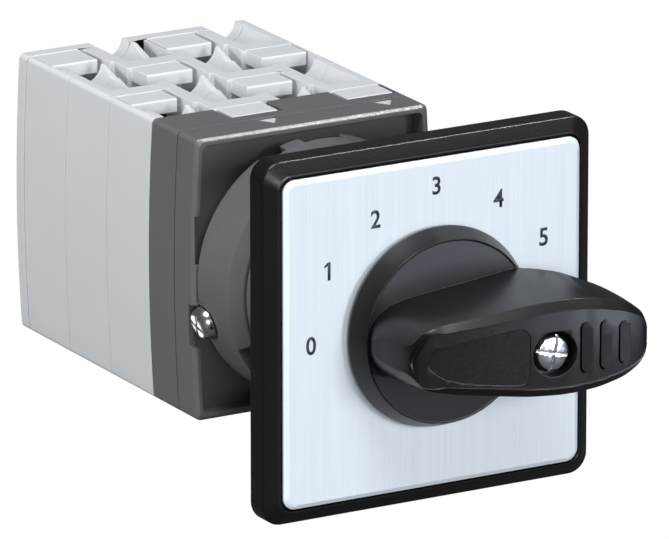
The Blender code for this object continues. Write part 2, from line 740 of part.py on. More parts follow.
def make_rear_shell(material):
    """Rear half of the latching housing: it holds the star wheel, the detents and the stop."""
    front = SHELL_SPLIT + GAP / 2
    shell = add_part("mech_housing", outline_solid(body_outline(), front, SHELL_REAR), material)
    end = (0, SHELL_REAR + PAST, 0)
    star_room = STAR_RADIUS + GAP + RUN
    cut(shell, "star chamber", rod((0, front - PAST, 0), end, star_room, sides=MIDDLE_ROUND))
    cut(shell, "stop chamber", rod((0, STOP_FRONT - GAP, 0), end, STOP_CHAMBER, sides=MIDDLE_ROUND))
    half = DETENT_WIDTH / 2 + RUN
    for side in (-1, 1):
        ends = sorted((side * STAR_RADIUS, side * (SPRING_END + GAP)))
        cut(shell, "detent guide", box((ends[0], front - PAST, -half), (ends[1], STAR_REAR + GAP, half)))
    cut(shell, "bolt hole", *bolt_holes(front - PAST, SHELL_REAR + PAST))
    half = TONGUE_WIDTH / 2 + TONGUE_SLIT
    for column in top_columns(even=True):
        for level in (1, -1):
            floor = BODY_HALF_HEIGHT - SHELL_PIT_DEPTH
            low = (max(column - half, -PIT_LIMIT), front - PAST, floor)
            high = (min(column + half, PIT_LIMIT), SHELL_REAR + PAST, BODY_HALF_HEIGHT + PAST)
            cut(shell, "tongue pit", mirrored_box(level, low, high))
    return shell


def make_shaft(material):
    front = -(PLATE_FACE + CARRIER_FRONT - GAP)
    half = SHAFT_SIDE / 2
    return add_part("shaft", box((-half, front, -half), (half, SHAFT_REAR, half)), material)


def make_star_wheel(material):
    teeth = round(2 * pi / CLICK)
    count = teeth * 4
    outline = []
    for i in range(count):
        angle = 2 * pi * i / count
        # A valley faces each detent at every position
        valley = (1 + cos(teeth * (angle - pi / 2))) / 2
        outline.append(polar(angle, STAR_RADIUS - STAR_DEPTH * valley))
    star = add_part("star_wheel", outline_solid(outline, STAR_FRONT, STAR_REAR), material)
    cut(star, "star bore", shaft_hole(STAR_FRONT - PAST, STAR_REAR + PAST))
    return star


def make_detents(slide_material, spring_material):
    """Two spring-loaded slides whose round noses press on the star wheel from both sides."""
    names = {-1: "left", 1: "right"}
    nose = STAR_RADIUS + GAP + DETENT_NOSE
    back = DETENT_BACK
    for side, word in names.items():
        tip = [(nose - DETENT_NOSE * sin(a), DETENT_NOSE * cos(a)) for a in (pi * i / 8 for i in range(9))]
        half = DETENT_WIDTH / 2
        outline = tip + [(nose, -half), (back, -half), (back, half), (nose, half)]
        outline = [(side * x, z) for x, z in outline]
        add_part(f"detent_{word}", outline_solid(outline, STAR_FRONT, STAR_REAR), slide_material)
        middle = (STAR_FRONT + STAR_REAR) / 2
        start, end = side * (back + GAP + WIRE / 2), side * (SPRING_END - WIRE / 2)
        coil(f"detent_spring_{word}", start, end, middle, spring_material)


def make_stop(plate_material, ring_material):
    """A plate with one lug on the shaft, and the ring whose two blocks end the lug's way."""
    lug = [polar(STOP_LUG_AT_REST + STOP_LUG_HALF * (i / 4 - 1), STOP_LUG) for i in range(9)]
    start = STOP_LUG_AT_REST + STOP_LUG_HALF
    turn = 2 * pi - 2 * STOP_LUG_HALF
    rim = [polar(start + turn * i / SMALL_ROUND, STOP_HUB) for i in range(SMALL_ROUND + 1)]
    plate = add_part("stop_plate", outline_solid(lug + rim, STOP_FRONT, STOP_REAR), plate_material)
    cut(plate, "stop bore", shaft_hole(STOP_FRONT - PAST, STOP_REAR + PAST))

    inner = STOP_LUG + RUN
    rim = disc_ring(inner, inner + STOP_RING_WALL, STOP_FRONT, STOP_REAR)
    ring = add_part("stop_ring", rim, ring_material)
    corners = ((-1, STOP_HUB + RUN), (1, STOP_HUB + RUN), (1, inner + PAST), (-1, inner + PAST))
    reach = STOP_LUG_HALF + STOP_PLAY + STOP_BLOCK_HALF
    for middle in (STOP_LUG_AT_REST - reach, STOP_LUG_AT_REST + TRAVEL + reach):
        block = [polar(middle + STOP_BLOCK_HALF * side, radius) for side, radius in corners]
        join(ring, "stop block", outline_solid(block, STOP_FRONT, STOP_REAR))


def mirrored_box(level, low, high):
    """A box for the top of the block, or turned half round the shaft's axis for the bottom."""
    return box(low, high, 0 if level > 0 else pi)


def fin_slope(level, column, apex, front):
    """What is cut off above a fin that falls from full height at its apex towards the front."""
    top = BODY_HALF_HEIGHT
    drop = FIN_SLOPE * (apex - front)
    near = column + CHANNEL_RADIUS - PAST / 2
    far = column + CHANNEL_RADIUS + FIN_WALL + PAST / 2
    section = [(apex, top), (apex, top + PAST), (front, top + PAST), (front, top - drop)]
    rings = [[(level * x, y, level * z) for y, z in section] for x in (near, far)]
    return loft(rings)


def terminal_cuts(front, rear, pits, apex):
    """The openings of one deck's terminals, on its top and, turned half round, on its bottom.

    The columns in pits have their clamps in this deck. The others carry the tongues of the
    deck's own roof band and, behind it, the wire channels of the deck before.
    """
    top = BODY_HALF_HEIGHT
    cuts = []
    for level in (1, -1):
        for column in COLUMNS:
            last = column == COLUMNS[-1]
            if column in pits:
                left = max(column - COLUMN_PITCH + CHANNEL_RADIUS + FIN_WALL + GAP, -PIT_LIMIT)
                right = min(column + TONGUE_WIDTH / 2 + TONGUE_SLIT, PIT_LIMIT)
                low, high = (left, front + PIT_START, PIT_FLOOR), (right, rear + PAST, top + PAST)
                cuts.append(mirrored_box(level, low, high))
                start, end = front - PAST, front + PIT_START + GAP
                slope_front, slope_apex = front - GAP, front + PIT_START
            else:
                start, end = front + BAND_DEPTH, rear + PAST
                slope_front, slope_apex = front + BAND_DEPTH, apex
            x, z = level * column, level * (top + GAP)
            cuts.append(rod((x, start, z), (x, end, z), CHANNEL_RADIUS, sides=CHANNEL_ROUND))
            if not last:
                cuts.append(fin_slope(level, column, slope_apex, slope_front))
                near = column + CHANNEL_RADIUS + FIN_WALL
                end = front + PIT_START + GAP
                trough = (near, start, top - TROUGH_DEPTH), (near + TROUGH_WIDTH, end, top + PAST)
                cuts.append(mirrored_box(level, *trough))
    return cuts


def make_deck(number, front, material):
    """One insulating deck, open behind, with its tongues over the piece in front of it."""
    even = number % 2 == 0
    rear = front + DECK_LENGTH
    pits = top_columns(not even)
    top = BODY_HALF_HEIGHT
    deck = add_part(f"deck_{number + 1}", outline_solid(body_outline(), front, rear), material)
    last_apex = rear - PAST if number == DECKS - 1 else rear + GAP + PIT_START
    cut(deck, "terminal", *terminal_cuts(front, rear, pits, last_apex))
    for level in (1, -1):
        for column in top_columns(even):
            half = TONGUE_WIDTH / 2
            low = (column - half, front - TONGUE_REACH, top - TONGUE_DROP - TONGUE_THICKNESS)
            high = (min(column + half, PIT_LIMIT - GAP), front + BAND_DEPTH / 2, top - TONGUE_DROP)
            join(deck, "tongue", mirrored_box(level, low, high))
    cut(deck, "shaft hole", rod((0, front - PAST, 0), (0, rear, 0), SHAFT_BORE))
    cam_room = CAM_RADIUS + GAP + RUN
    end = rear + PAST
    cut(deck, "cam chamber", rod((0, front + DECK_WEB, 0), (0, end, 0), cam_room, sides=MIDDLE_ROUND))
    guide_front = front + CONTACT_AT - RUN
    for side in (-1, 1):
        near, far = sorted((side * CAM_RADIUS, side * STRIP_X))
        half = PLUNGER_HALF + RUN
        cut(deck, "plunger guide", box((near, guide_front, -half), (far, end, half)))
        near, far = sorted((side * (STRIP_X - RUN), side * (SPRING_END + GAP)))
        half = CHAMBER_HALF
        cut(deck, "contact chamber", box((near, front + DECK_WEB, -half), (far, end, half)))
    slot_front = front + CONTACT_AT - GAP
    roof = PIT_FLOOR + STRIP_THICKNESS + 2 * GAP
    foot = min(CHAMBER_HALF, PIT_FLOOR) - PAST
    near, far = STRIP_X - GAP, STRIP_X + STRIP_THICKNESS + GAP
    arm = PIT_FLOOR - GAP / 2
    for column in pits:
        side = 1 if column > 0 else -1
        left, right = min(near, abs(column)), max(far, abs(column))
        leg = [(near, foot), (far, foot)]
        if abs(column) > far:
            slot = [*leg, (far, arm), (right, arm), (right, roof), (left, roof)]
        else:
            slot = [*leg, (right, roof), (left, roof), (left, arm), (near, arm)]
        for level in (1, -1):
            turned_slot = [(level * side * x, level * z) for x, z in slot]
            cut(deck, "strip slot", outline_solid(turned_slot, slot_front, end))
    cut(deck, "bolt hole", *bolt_holes(front - PAST, rear + PAST))
    return deck


def make_rear_cover(material):
    """End cover with the last row of tongues, the shaft's end bearing and the bolt heads."""
    cover = add_part("rear_cover", outline_solid(body_outline(), COVER_FRONT, COVER_REAR), material)
    even = DECKS % 2 == 0
    top = BODY_HALF_HEIGHT
    for level in (1, -1):
        for column in top_columns(even):
            half = TONGUE_WIDTH / 2
            near = max(column - half, GAP - PIT_LIMIT)
            low = (near, COVER_FRONT - COVER_TONGUE_REACH, top - TONGUE_DROP - TONGUE_THICKNESS)
            high = (column + half, COVER_FRONT + COVER_THICKNESS / 2, top - TONGUE_DROP)
            join(cover, "tongue", mirrored_box(level, low, high))
        for column in top_columns(not even):
            x, z = level * column, level * (top + GAP)
            start, end = (x, COVER_FRONT - PAST, z), (x, COVER_REAR + PAST, z)
            cut(cover, "channel", rod(start, end, CHANNEL_RADIUS, sides=CHANNEL_ROUND))
    bearing_end = COVER_REAR - SHAFT_END_SINK
    cut(cover, "end bearing", rod((0, COVER_FRONT - PAST, 0), (0, bearing_end, 0), SHAFT_BORE))
    cut(cover, "bolt hole", *bolt_holes(COVER_FRONT - PAST, COVER_REAR + PAST))
    for side in (-1, 1):
        x, z = side * BOLT_X, -side * BOLT_Z
        seat = COVER_REAR - BOLT_HEAD_THICKNESS - GAP
        cut(cover, "bolt seat", rod((x, seat, z), (x, COVER_REAR + PAST, z), BOLT_HEAD_RADIUS + GAP))
    return cover


def make_tie_bolts(material):
    seat = COVER_REAR - BOLT_HEAD_THICKNESS
    tip = SHELL_FRONT + RIM_DEPTH + FRAME_WEB / 2 + GAP
    for side, word in ((-1, "left"), (1, "right")):
        x, z = side * BOLT_X, -side * BOLT_Z
        head = rod((x, seat, z), (x, COVER_REAR, z), BOLT_HEAD_RADIUS)
        bolt = add_part(f"tie_bolt_{word}", head, material)
        join(bolt, "bolt shank", rod((x, tip, z), (x, seat + GAP, z), BOLT_RADIUS, sides=PIN_ROUND))
        reach = BOLT_HEAD_RADIUS + PAST
        low = (x - reach, COVER_REAR - BOLT_HEAD_THICKNESS / 2, z - BOLT_SLOT / 2)
        high = (x + reach, COVER_REAR + PAST, z + BOLT_SLOT / 2)
        cut(bolt, "bolt slot", box(low, high))


def cam_outline(notches):
    """A disc with a notch at each angle, where a plunger drops and its contact closes."""
    outline = []
    steps = MIDDLE_ROUND + PIN_ROUND
    for i in range(steps):
        angle = 2 * pi * i / steps
        away = min(abs(atan2(sin(angle - notch), cos(angle - notch))) for notch in notches)
        depth = CAM_NOTCH if away < CAM_NOTCH_HALF else 0
        outline.append(polar(angle, CAM_RADIUS - depth))
    return outline


def make_cam(number, front, material):
    """The left contact closes at an odd position, and the right one at the next."""
    left_position = min(2 * number + 1, LAST_POSITION)
    right_position = min(2 * number + 2, LAST_POSITION)
    notches = (-pi / 2 - CLICK * left_position, pi / 2 - CLICK * right_position)
    start = front + DECK_WEB + RUN
    end = start + CAM_THICKNESS
    cam = add_part(f"cam_{number + 1}", outline_solid(cam_outline(notches), start, end), material)
    cut(cam, "cam bore", shaft_hole(start - PAST, end + PAST))
    return cam


def make_contacts(number, front, materials):
    """The plungers, bridges, springs and clamped terminal strips of one deck."""
    even = number % 2 == 0
    pits = top_columns(not even)
    near = front + CONTACT_AT
    far = near + CONTACT_WIDTH
    middle = (near + far) / 2
    for side, word in ((-1, "left"), (1, "right")):
        ends = sorted((side * (CAM_RADIUS + GAP), side * (BRIDGE_X - GAP)))
        low = (ends[0], near, -PLUNGER_HALF)
        high = (ends[1], far, PLUNGER_HALF)
        add_part(f"plunger_{number + 1}_{word}", box(low, high), materials["guide"])
        ends = sorted((side * BRIDGE_X, side * (BRIDGE_X + BRIDGE_THICKNESS)))
        bridge = box((ends[0], near, -BRIDGE_HALF), (ends[1], far, BRIDGE_HALF))
        add_part(f"bridge_{number + 1}_{word}", bridge, materials["contact"])
        start = BRIDGE_X + BRIDGE_THICKNESS + GAP + WIRE / 2
        end = SPRING_END - WIRE / 2
        coil(f"spring_{number + 1}_{word}", side * start, side * end, middle, materials["spring"])
    for level, row in ((1, "top"), (-1, "bottom")):
        for column in pits:
            side = 1 if column > 0 else -1
            word = "right" if level * side > 0 else "left"
            name = f"terminal_{number + 1}_{row}_{word}"
            terminal = make_terminal(name, level, column, near, materials["contact"])
            base = PIT_FLOOR + GAP + STRIP_THICKNESS + CLAMP_HEIGHT
            start = (level * column, middle, level * (base - GAP))
            end = (level * column, middle, level * (base + CLAMP_SCREW_HEAD))
            join(terminal, "clamp screw", rod(start, end, CLAMP_SCREW_RADIUS, sides=PIN_ROUND))


def make_terminal(name, level, column, near, material):
    """A strip from the fixed contact up through the deck to its clamp."""
    side = 1 if column > 0 else -1
    inner, outer = STRIP_X, STRIP_X + STRIP_THICKNESS
    foot = PIT_FLOOR + GAP
    deck = foot + STRIP_THICKNESS
    x = abs(column)
    half = CLAMP_WIDTH / 2
    tip = [(inner, STRIP_TIP), (outer, STRIP_TIP)]
    clamp = [(x + half, deck + CLAMP_HEIGHT), (x - half, deck + CLAMP_HEIGHT)]
    if x < inner:
        outline = [*tip, (outer, deck), (x + half, deck), *clamp, (x - half, foot), (inner, foot)]
    else:
        outline = [*tip, (outer, foot), (x + half, foot), *clamp, (x - half, deck), (inner, deck)]
    outline = [(level * side * px, level * pz) for px, pz in outline]
    return add_part(name, outline_solid(outline, near, near + CONTACT_WIDTH), material)


def grip_ring(station):
    """One cross-section of the grip: foot, bevelled edges and a face that is a little crowned."""
    along, foot, face, low, high = (value * MM for value in station)
    narrow, bevel = GRIP_EDGE_SHARES
    lean, bend = GRIP_FLANK
    edge = min(GRIP_EDGE, face * narrow)
    half = [
        (foot, low),
        (face + (foot - face) * lean, high - edge - (high - low) * bend),
        (face, high - edge),
        (face - edge * bevel, high - edge * bevel),
        (face - edge, high),
        (0, high + GRIP_CROWN),
    ]
    left = [(-z, h) for z, h in reversed(half[:-1])]
    return [(along, -PLATE_FACE - h, z) for z, h in half + left]


def face_height(x):
    """The height of the grip's face at a place along it."""
    places = [station[0] * MM for station in GRIP_STATIONS]
    heights = [station[4] * MM for station in GRIP_STATIONS]
    for i in range(len(places) - 1):
        if places[i] <= x <= places[i + 1]:
            share = (x - places[i]) / (places[i + 1] - places[i])
            return heights[i] + share * (heights[i + 1] - heights[i])
    return heights[-1]


def make_handle(material):
    """Disc with a lever grip that overhangs it, over a carrier that sits on the shaft."""
    back = -PLATE_FACE - DISC_LIFT
    profile = (
        (DISC_RADIUS - DISC_DRAFT, back),
        (DISC_RADIUS, -PLATE_FACE - DISC_EDGE),
        (DISC_FACE_RADIUS, -PLATE_FACE - DISC_HEIGHT),
    )
    handle = add_part("handle", loft([circle(radius, y, LARGE_ROUND) for radius, y in profile]), material)
    join(handle, "grip", loft([grip_ring(station) for station in GRIP_STATIONS]))
    front = (0, -PLATE_FACE - CARRIER_FRONT - GAP, 0)
    pocket = rod(front, (0, back + PAST, 0), CARRIER_RADIUS + GAP, sides=MIDDLE_ROUND)
    cut(handle, "carrier pocket", pocket)
    outside, inside = (BOSS_X, -2 * DISC_RADIUS, BOSS_Z), (BOSS_X, back, BOSS_Z)
    boss_front = (BOSS_X, -PLATE_FACE - BOSS_HEIGHT - GAP, BOSS_Z)
    cut(handle, "boss pocket", rod(boss_front, inside, BOSS_RADIUS + GAP))
    cut(handle, "screw hole", rod(outside, inside, SCREW_SHANK_RADIUS + GAP, sides=PIN_ROUND))
    cut(handle, "screw well", rod(outside, (BOSS_X, screw_seat(), BOSS_Z), SCREW_WELL_RADIUS))
    for groove in range(GRIP_GROOVES):
        x = GROOVE_X + groove * GROOVE_PITCH
        y = -PLATE_FACE - face_height(x) + GROOVE_DEPTH - GROOVE_RADIUS
        half = GROOVE_HALF_LENGTH - groove * GROOVE_RADIUS / 2
        cut(handle, "groove", rod((x, y, -half), (x, y, half), GROOVE_RADIUS, sides=PIN_ROUND))
    return handle


def screw_seat():
    """The Y of the handle screw's seat in its well."""
    return -(PLATE_FACE + face_height(BOSS_X) - SCREW_HEAD_SINK - SCREW_HEAD_THICKNESS)


def make_carrier(material):
    front = -PLATE_FACE - CARRIER_FRONT
    back = -PLATE_FACE - CARRIER_BACK
    disc = rod((0, front, 0), (0, back, 0), CARRIER_RADIUS, sides=MIDDLE_ROUND)
    carrier = add_part("handle_carrier", disc, material)
    top = -PLATE_FACE - BOSS_HEIGHT
    boss = rod((BOSS_X, top, BOSS_Z), (BOSS_X, back - GAP, BOSS_Z), BOSS_RADIUS)
    join(carrier, "carrier boss", boss)
    cut(carrier, "carrier bore", shaft_hole(front - PAST, back + PAST))
    start, end = (BOSS_X, top - PAST, BOSS_Z), (BOSS_X, GAP - PLATE_FACE - SCREW_TIP, BOSS_Z)
    cut(carrier, "screw thread", rod(start, end, SCREW_SHANK_RADIUS + GAP, sides=PIN_ROUND))
    return carrier


def make_handle_screw(material):
    seat = screw_seat() - GAP
    top = seat - SCREW_HEAD_THICKNESS
    head = rod((BOSS_X, seat, BOSS_Z), (BOSS_X, top, BOSS_Z), SCREW_HEAD_RADIUS, SCREW_TOP_RADIUS)
    screw = add_part("handle_screw", head, material)
    start, tip = (BOSS_X, seat - GAP, BOSS_Z), (BOSS_X, -PLATE_FACE - SCREW_TIP, BOSS_Z)
    join(screw, "screw shank", rod(start, tip, SCREW_SHANK_RADIUS, sides=PIN_ROUND))
    for x, z in (SCREW_RECESS, SCREW_RECESS[::-1]):
        low = (BOSS_X - x, top - PAST, BOSS_Z - z)
        high = (BOSS_X + x, top + SCREW_RECESS_DEPTH, BOSS_Z + z)
        cut(screw, "screw recess", box(low, high))
    return screw


def smooth_round_parts():
    for part in parts.objects:
        if part.type == "MESH":
            part.data.shade_smooth()
            part.data.set_sharp_from_angle(angle=radians(35))


clear_scene()
parts = new_collection("Cam switch")
cutters = new_collection("Cutters")

black = finish("black glass-filled polyamide", "232326", 0.42)
dark = finish("dark grey polyamide", "66666A", 0.55)
light = finish("light grey polyamide", "C4C5C6", 0.55)
natural = finish("natural acetal", "D9D4C6", 0.5)
rubber = finish("black nitrile rubber", "1A1A1B", 0.8)
plate = finish("brushed silver aluminium", "D9E3EC", 0.35, 0.6)
zinc = finish("zinc-plated steel", "CFCFCB", 0.28, 1.0)
silver = finish("silvered copper", "C8C2B0", 0.35, 1.0)
steel = finish("spring steel", "8C8C8C", 0.35, 1.0)

make_front_frame(black)
make_legend_plate(plate)
make_gasket(rubber)
make_neck(black)
make_ring_nut(black)
make_collar(dark)
make_bayonet_ring(dark)
make_locking_screw(zinc)
make_front_shell(dark)
make_rear_shell(dark)
make_shaft(zinc)
make_star_wheel(natural)
make_detents(natural, steel)
make_stop(steel, natural)
for index in range(DECKS):
    deck_front = FIRST_DECK + index * DECK_PITCH
    make_deck(index, deck_front, light)
    make_cam(index, deck_front, natural)
    make_contacts(index, deck_front, {"guide": natural, "contact": silver, "spring": steel})
make_rear_cover(light)
make_tie_bolts(zinc)
make_handle(black)
make_carrier(black)
make_handle_screw(zinc)
smooth_round_parts()
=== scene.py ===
from math import cos, pi, radians, sin

import bmesh
import bpy
from mathutils import Matrix, Vector


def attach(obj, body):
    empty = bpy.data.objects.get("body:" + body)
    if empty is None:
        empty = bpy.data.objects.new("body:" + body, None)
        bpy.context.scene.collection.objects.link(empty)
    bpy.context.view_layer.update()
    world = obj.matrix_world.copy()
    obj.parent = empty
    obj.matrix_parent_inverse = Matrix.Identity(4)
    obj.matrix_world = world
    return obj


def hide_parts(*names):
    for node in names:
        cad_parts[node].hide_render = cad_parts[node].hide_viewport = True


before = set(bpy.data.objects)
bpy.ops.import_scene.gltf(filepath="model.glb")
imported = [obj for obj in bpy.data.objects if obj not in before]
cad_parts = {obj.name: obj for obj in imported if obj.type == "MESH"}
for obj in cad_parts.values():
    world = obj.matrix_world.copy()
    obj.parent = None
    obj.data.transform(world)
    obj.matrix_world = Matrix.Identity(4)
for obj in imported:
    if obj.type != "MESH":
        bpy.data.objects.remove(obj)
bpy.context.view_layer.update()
mm = 0.001  # shapes are written in millimetres and become objects in metres
past = 1  # how far a cut reaches past what it cuts
print("cam switch: frame loaded")

scene = bpy.context.scene

# Places that several pieces share, in millimetres
gap = 0.3
plateFace = 6.7  # in front of the panel
halfHeight, halfWidth, bulge, bodyCorner = 25.3, 22.98, 0.85, 0.9
columns, pitch = (-17.25, -5.75, 5.75, 17.25), 11.5
shellFront, shellSplit, shellRear = 34.5, 41.3, 50.3
deckFronts, deckLength = (50.6, 65.9, 81.2), 15.0
coverFront, coverRear = 96.5, 99.3
pitLimit = 22.08
shaftBore = 4.64


# Shapes


def settled(shape):
    bmesh.ops.recalc_face_normals(shape, faces=shape.faces)
    return shape


def prism(points, front, rear):  # a flat outline of (x, z) points, thick along Y
    shape = bmesh.new()
    near = [shape.verts.new((x, front, z)) for x, z in points]
    far = [shape.verts.new((x, rear, z)) for x, z in points]
    shape.faces.new(near)
    shape.faces.new(far[::-1])
    for i in range(len(points)):
        j = (i + 1) % len(points)
        shape.faces.new((near[j], near[i], far[i], far[j]))
    return settled(shape)


def skin(rings, closed=False, shape=None):
    # Through rings of equally many points, with end caps or closed on itself
    shape = shape or bmesh.new()
    rows = [[shape.verts.new(point) for point in ring] for ring in rings]
    for first, second in zip(rows, rows[1:] + rows[:1] if closed else rows[1:]):
        for i in range(len(first)):
            j = (i + 1) % len(first)
            shape.faces.new((first[i], first[j], second[j], second[i]))
    if not closed:
        shape.faces.new(rows[0])
        shape.faces.new(rows[-1][::-1])
    return settled(shape)


def loft(*sections):  # through pairs of an outline of (x, z) points and its place along Y
    return skin([[(x, y, z) for x, z in outline] for outline, y in sections])


def circle(radius, y, sides):  # from the top, turning to the right
    turns = [2 * pi * i / sides for i in range(sides)]
    return [(radius * sin(a), y, radius * cos(a)) for a in turns]


def lathe(profile, sides=96):  # (radius, y) points that close on themselves, turned about the shaft
    return skin([circle(radius, y, sides) for radius, y in profile], closed=True)


def block(low, high, turn=0.0):
    shape = bmesh.new()
    low, high = Vector(low), Vector(high)
    place = Matrix.Rotation(turn, 4, "Y") @ Matrix.Translation((low + high) / 2)
    bmesh.ops.create_cube(shape, size=1, matrix=place @ Matrix.Diagonal((*(high - low), 1)))
    return shape


def bar(start, end, radius, endRadius=None, sides=48):
    shape = bmesh.new()
    start, end = Vector(start), Vector(end)
    along = end - start
    place = Matrix.Translation((start + end) / 2) @ along.to_track_quat("Z", "Y").to_matrix().to_4x4()
    far = radius if endRadius is None else endRadius
    sizes = {"radius1": radius, "radius2": far, "depth": along.length}
    bmesh.ops.create_cone(shape, cap_ends=True, segments=sides, matrix=place, **sizes)
    return shape


def rod(front, rear, radius, sides=48, x=0, z=0):  # a bar along the shaft's direction
    return bar((x, front, z), (x, rear, z), radius, sides=sides)


def filleted(before, corner, after, radius, steps=5):  # a line round one corner
    before, corner, after = Vector(before), Vector(corner), Vector(after)
    away, onward = before - corner, after - corner
    reach = radius / max(away.angle(onward) / 2, 0.2)
    reach = min(reach, away.length / 2, onward.length / 2)
    start, end = corner + away.normalized() * reach, corner + onward.normalized() * reach
    shares = [step / steps for step in range(steps + 1)]
    arc = [start * (1 - t) ** 2 + corner * 2 * t * (1 - t) + end * t**2 for t in shares]
    return [before, *arc, after]


def polar(angle, radius):  # from the top, turning to the right
    return radius * sin(radians(angle)), radius * cos(radians(angle))


def roundedSquare(side, corner, steps=10):
    points = []
    for quarter in range(4):
        turn = pi / 2 * quarter
        reach = side / 2 - corner
        middleX = reach * (cos(turn) - sin(turn))
        middleZ = reach * (sin(turn) + cos(turn))
        for step in range(steps + 1):
            angle = turn + pi / 2 * step / steps
            points.append((middleX + corner * cos(angle), middleZ + corner * sin(angle)))
    return points


# Objects


def newPiece(name, shape):
    bmesh.ops.scale(shape, vec=(mm, mm, mm), verts=shape.verts)
    mesh = bpy.data.meshes.new(name)
    shape.to_mesh(mesh)
    shape.free()
    piece = bpy.data.objects.new(name, mesh)
    scene.collection.objects.link(piece)
    return piece


def combine(piece, operation, shapes):
    for shape in shapes:  # each a shape, or a piece that goes with the modifier
        change = piece.modifiers.new(operation, "BOOLEAN")
        change.operation = operation
        change.object = shape if isinstance(shape, bpy.types.Object) else newPiece("tool", shape)


def carve(piece, *shapes):
    combine(piece, "DIFFERENCE", shapes)


def weld(piece, *shapes):
    combine(piece, "UNION", shapes)


def flatten(piece):  # applies the modifiers and removes their tools
    bpy.context.view_layer.update()
    evaluated = piece.evaluated_get(bpy.context.evaluated_depsgraph_get())
    mesh = bpy.data.meshes.new_from_object(evaluated)
    mesh.name = piece.name
    tools = [change.object for change in piece.modifiers if change.type == "BOOLEAN"]
    piece.modifiers.clear()
    piece.data = mesh
    for tool in tools:
        bpy.data.objects.remove(tool)
    return piece


def softenEdges(piece, width, steps=2, above=30, crisp=()):
    # A small radius on every sharp edge. The crisp cuts come after it and stay sharp.
    flatten(piece)
    shape = bmesh.new()
    shape.from_mesh(piece.data)
    bmesh.ops.remove_doubles(shape, verts=shape.verts, dist=0.004 * mm)
    bmesh.ops.dissolve_limit(shape, angle_limit=radians(0.6), verts=shape.verts, edges=shape.edges)
    shape.to_mesh(piece.data)
    shape.free()
    edge = piece.modifiers.new("edges", "BEVEL")
    edge.width = width * mm
    edge.segments = steps
    edge.limit_method = "ANGLE"
    edge.angle_limit = radians(above)
    edge.use_clamp_overlap = False
    edge.miter_outer = "MITER_ARC"
    flatten(piece)
    if crisp:
        carve(piece, *crisp)
        flatten(piece)
    piece.data.shade_smooth()
    piece.data.set_sharp_from_angle(angle=radians(40))
    flat = piece.modifiers.new("flat faces stay flat", "WEIGHTED_NORMAL")
    flat.keep_sharp = True
    flatten(piece)


def place(piece, look, slotName, *nodes, body="housing"):
    piece.data.materials.clear()
    piece.data.materials.append(look)
    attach(piece, body)
    if nodes:
        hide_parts(*nodes)


def feed(tree, node, inputs):  # with values, sockets, or nodes that stand for their first output
    for name, value in inputs.items():
        if isinstance(value, bpy.types.Node):
            value = value.outputs[0]
        if isinstance(value, bpy.types.NodeSocket):
            tree.links.new(value, node.inputs[name])
        else:
            node.inputs[name].default_value = value


def addNode(tree, kind, inputs, **settings):
    node = tree.nodes.new(kind)
    for name, value in settings.items():
        setattr(node, name, value)
    feed(tree, node, inputs)
    return node


# Looks


def colour(code):  # sRGB hex to linear
    values = [int(code[i : i + 2], 16) / 255 for i in (0, 2, 4)]
    return (*(v / 12.92 if v <= 0.04045 else ((v + 0.055) / 1.055) ** 2.4 for v in values), 1)


def newLook(name):
    look = bpy.data.materials.new(name)
    look.use_nodes = True
    return look, look.node_tree, look.node_tree.nodes["Principled BSDF"]


def mapRange(tree, value, *bounds):  # from low and high, and to low and high if not 0 and 1
    inputs = dict(zip(("From Min", "From Max", "To Min", "To Max"), bounds))
    return addNode(tree, "ShaderNodeMapRange", {"Value": value, **inputs})


def dress(tree, shader, codes, tint, fine, gloss, strength, relief, metallic):
    # A colour between two codes by the tint, with gloss and relief from the fine texture
    shades = {"Factor": tint, 6: colour(codes[0]), 7: colour(codes[1])}  # its two colour inputs
    mix = addNode(tree, "ShaderNodeMix", shades, data_type="RGBA").outputs[2]
    rough = mapRange(tree, fine, 0.3, 0.7, *gloss)
    texture = {"Height": fine, "Strength": strength, "Distance": relief * mm}
    bump = addNode(tree, "ShaderNodeBump", texture)
    inputs = {"Base Color": mix, "Roughness": rough, "Normal": bump, "Metallic": metallic}
    feed(tree, shader, inputs)


def moulded(name, base, shade, rough, grain, relief, metallic=0.0, ior=1.53):
    # A fine texture in relief and gloss, and a slow drift in colour. Metals take it too.
    driftSize, glossSpread = 14, 0.05
    look, tree, shader = newLook(name)
    where = addNode(tree, "ShaderNodeTexCoord", {}).outputs["Object"]
    noises = [
        {"Vector": where, "Scale": 1 / (size * mm), "Detail": detail}
        for size, detail in ((driftSize, 3.0), (grain, 2.0))
    ]
    drift, fine = (addNode(tree, "ShaderNodeTexNoise", noise) for noise in noises)
    gloss = (rough - glossSpread, rough + glossSpread)
    dress(tree, shader, (base, shade), drift, fine, gloss, 0.5, relief, metallic)
    if metallic == 0:
        shader.inputs["IOR"].default_value = ior
    return look


# Glass-filled polyamide, spark-eroded mould: satin black that catches soft highlights
black = "08080A", "0C0C0E"
blackPolyamide = moulded("black glass-filled polyamide", *black, 0.34, 0.35, 0.006, ior=1.48)
# The same, a little smoother where fingers polish it
handlePolyamide = moulded("black polyamide, fine texture", *black, 0.34, 0.3, 0.005, ior=1.46)
# Through-coloured grey polyamide of the latching parts: even, nearly matte
darkPolyamide = moulded("dark grey polyamide", "606063", "68686B", 0.34, 0.4, 0.006)
# Light grey polyamide of the contact decks: matte, a touch cooler where it is thin
lightPolyamide = moulded("light grey polyamide", "C9CCCE", "D0D3D5", 0.5, 0.4, 0.006, ior=1.5)
# Self-lubricating acetal: milky white with a waxy shine
naturalAcetal = moulded("natural acetal", "DAD6C8", "E4E0D3", 0.38, 0.5, 0.004, ior=1.48)
# Nitrile rubber: dull and almost black
nitrileRubber = moulded("nitrile rubber", "18181A", "202022", 0.8, 0.25, 0.01, ior=1.52)
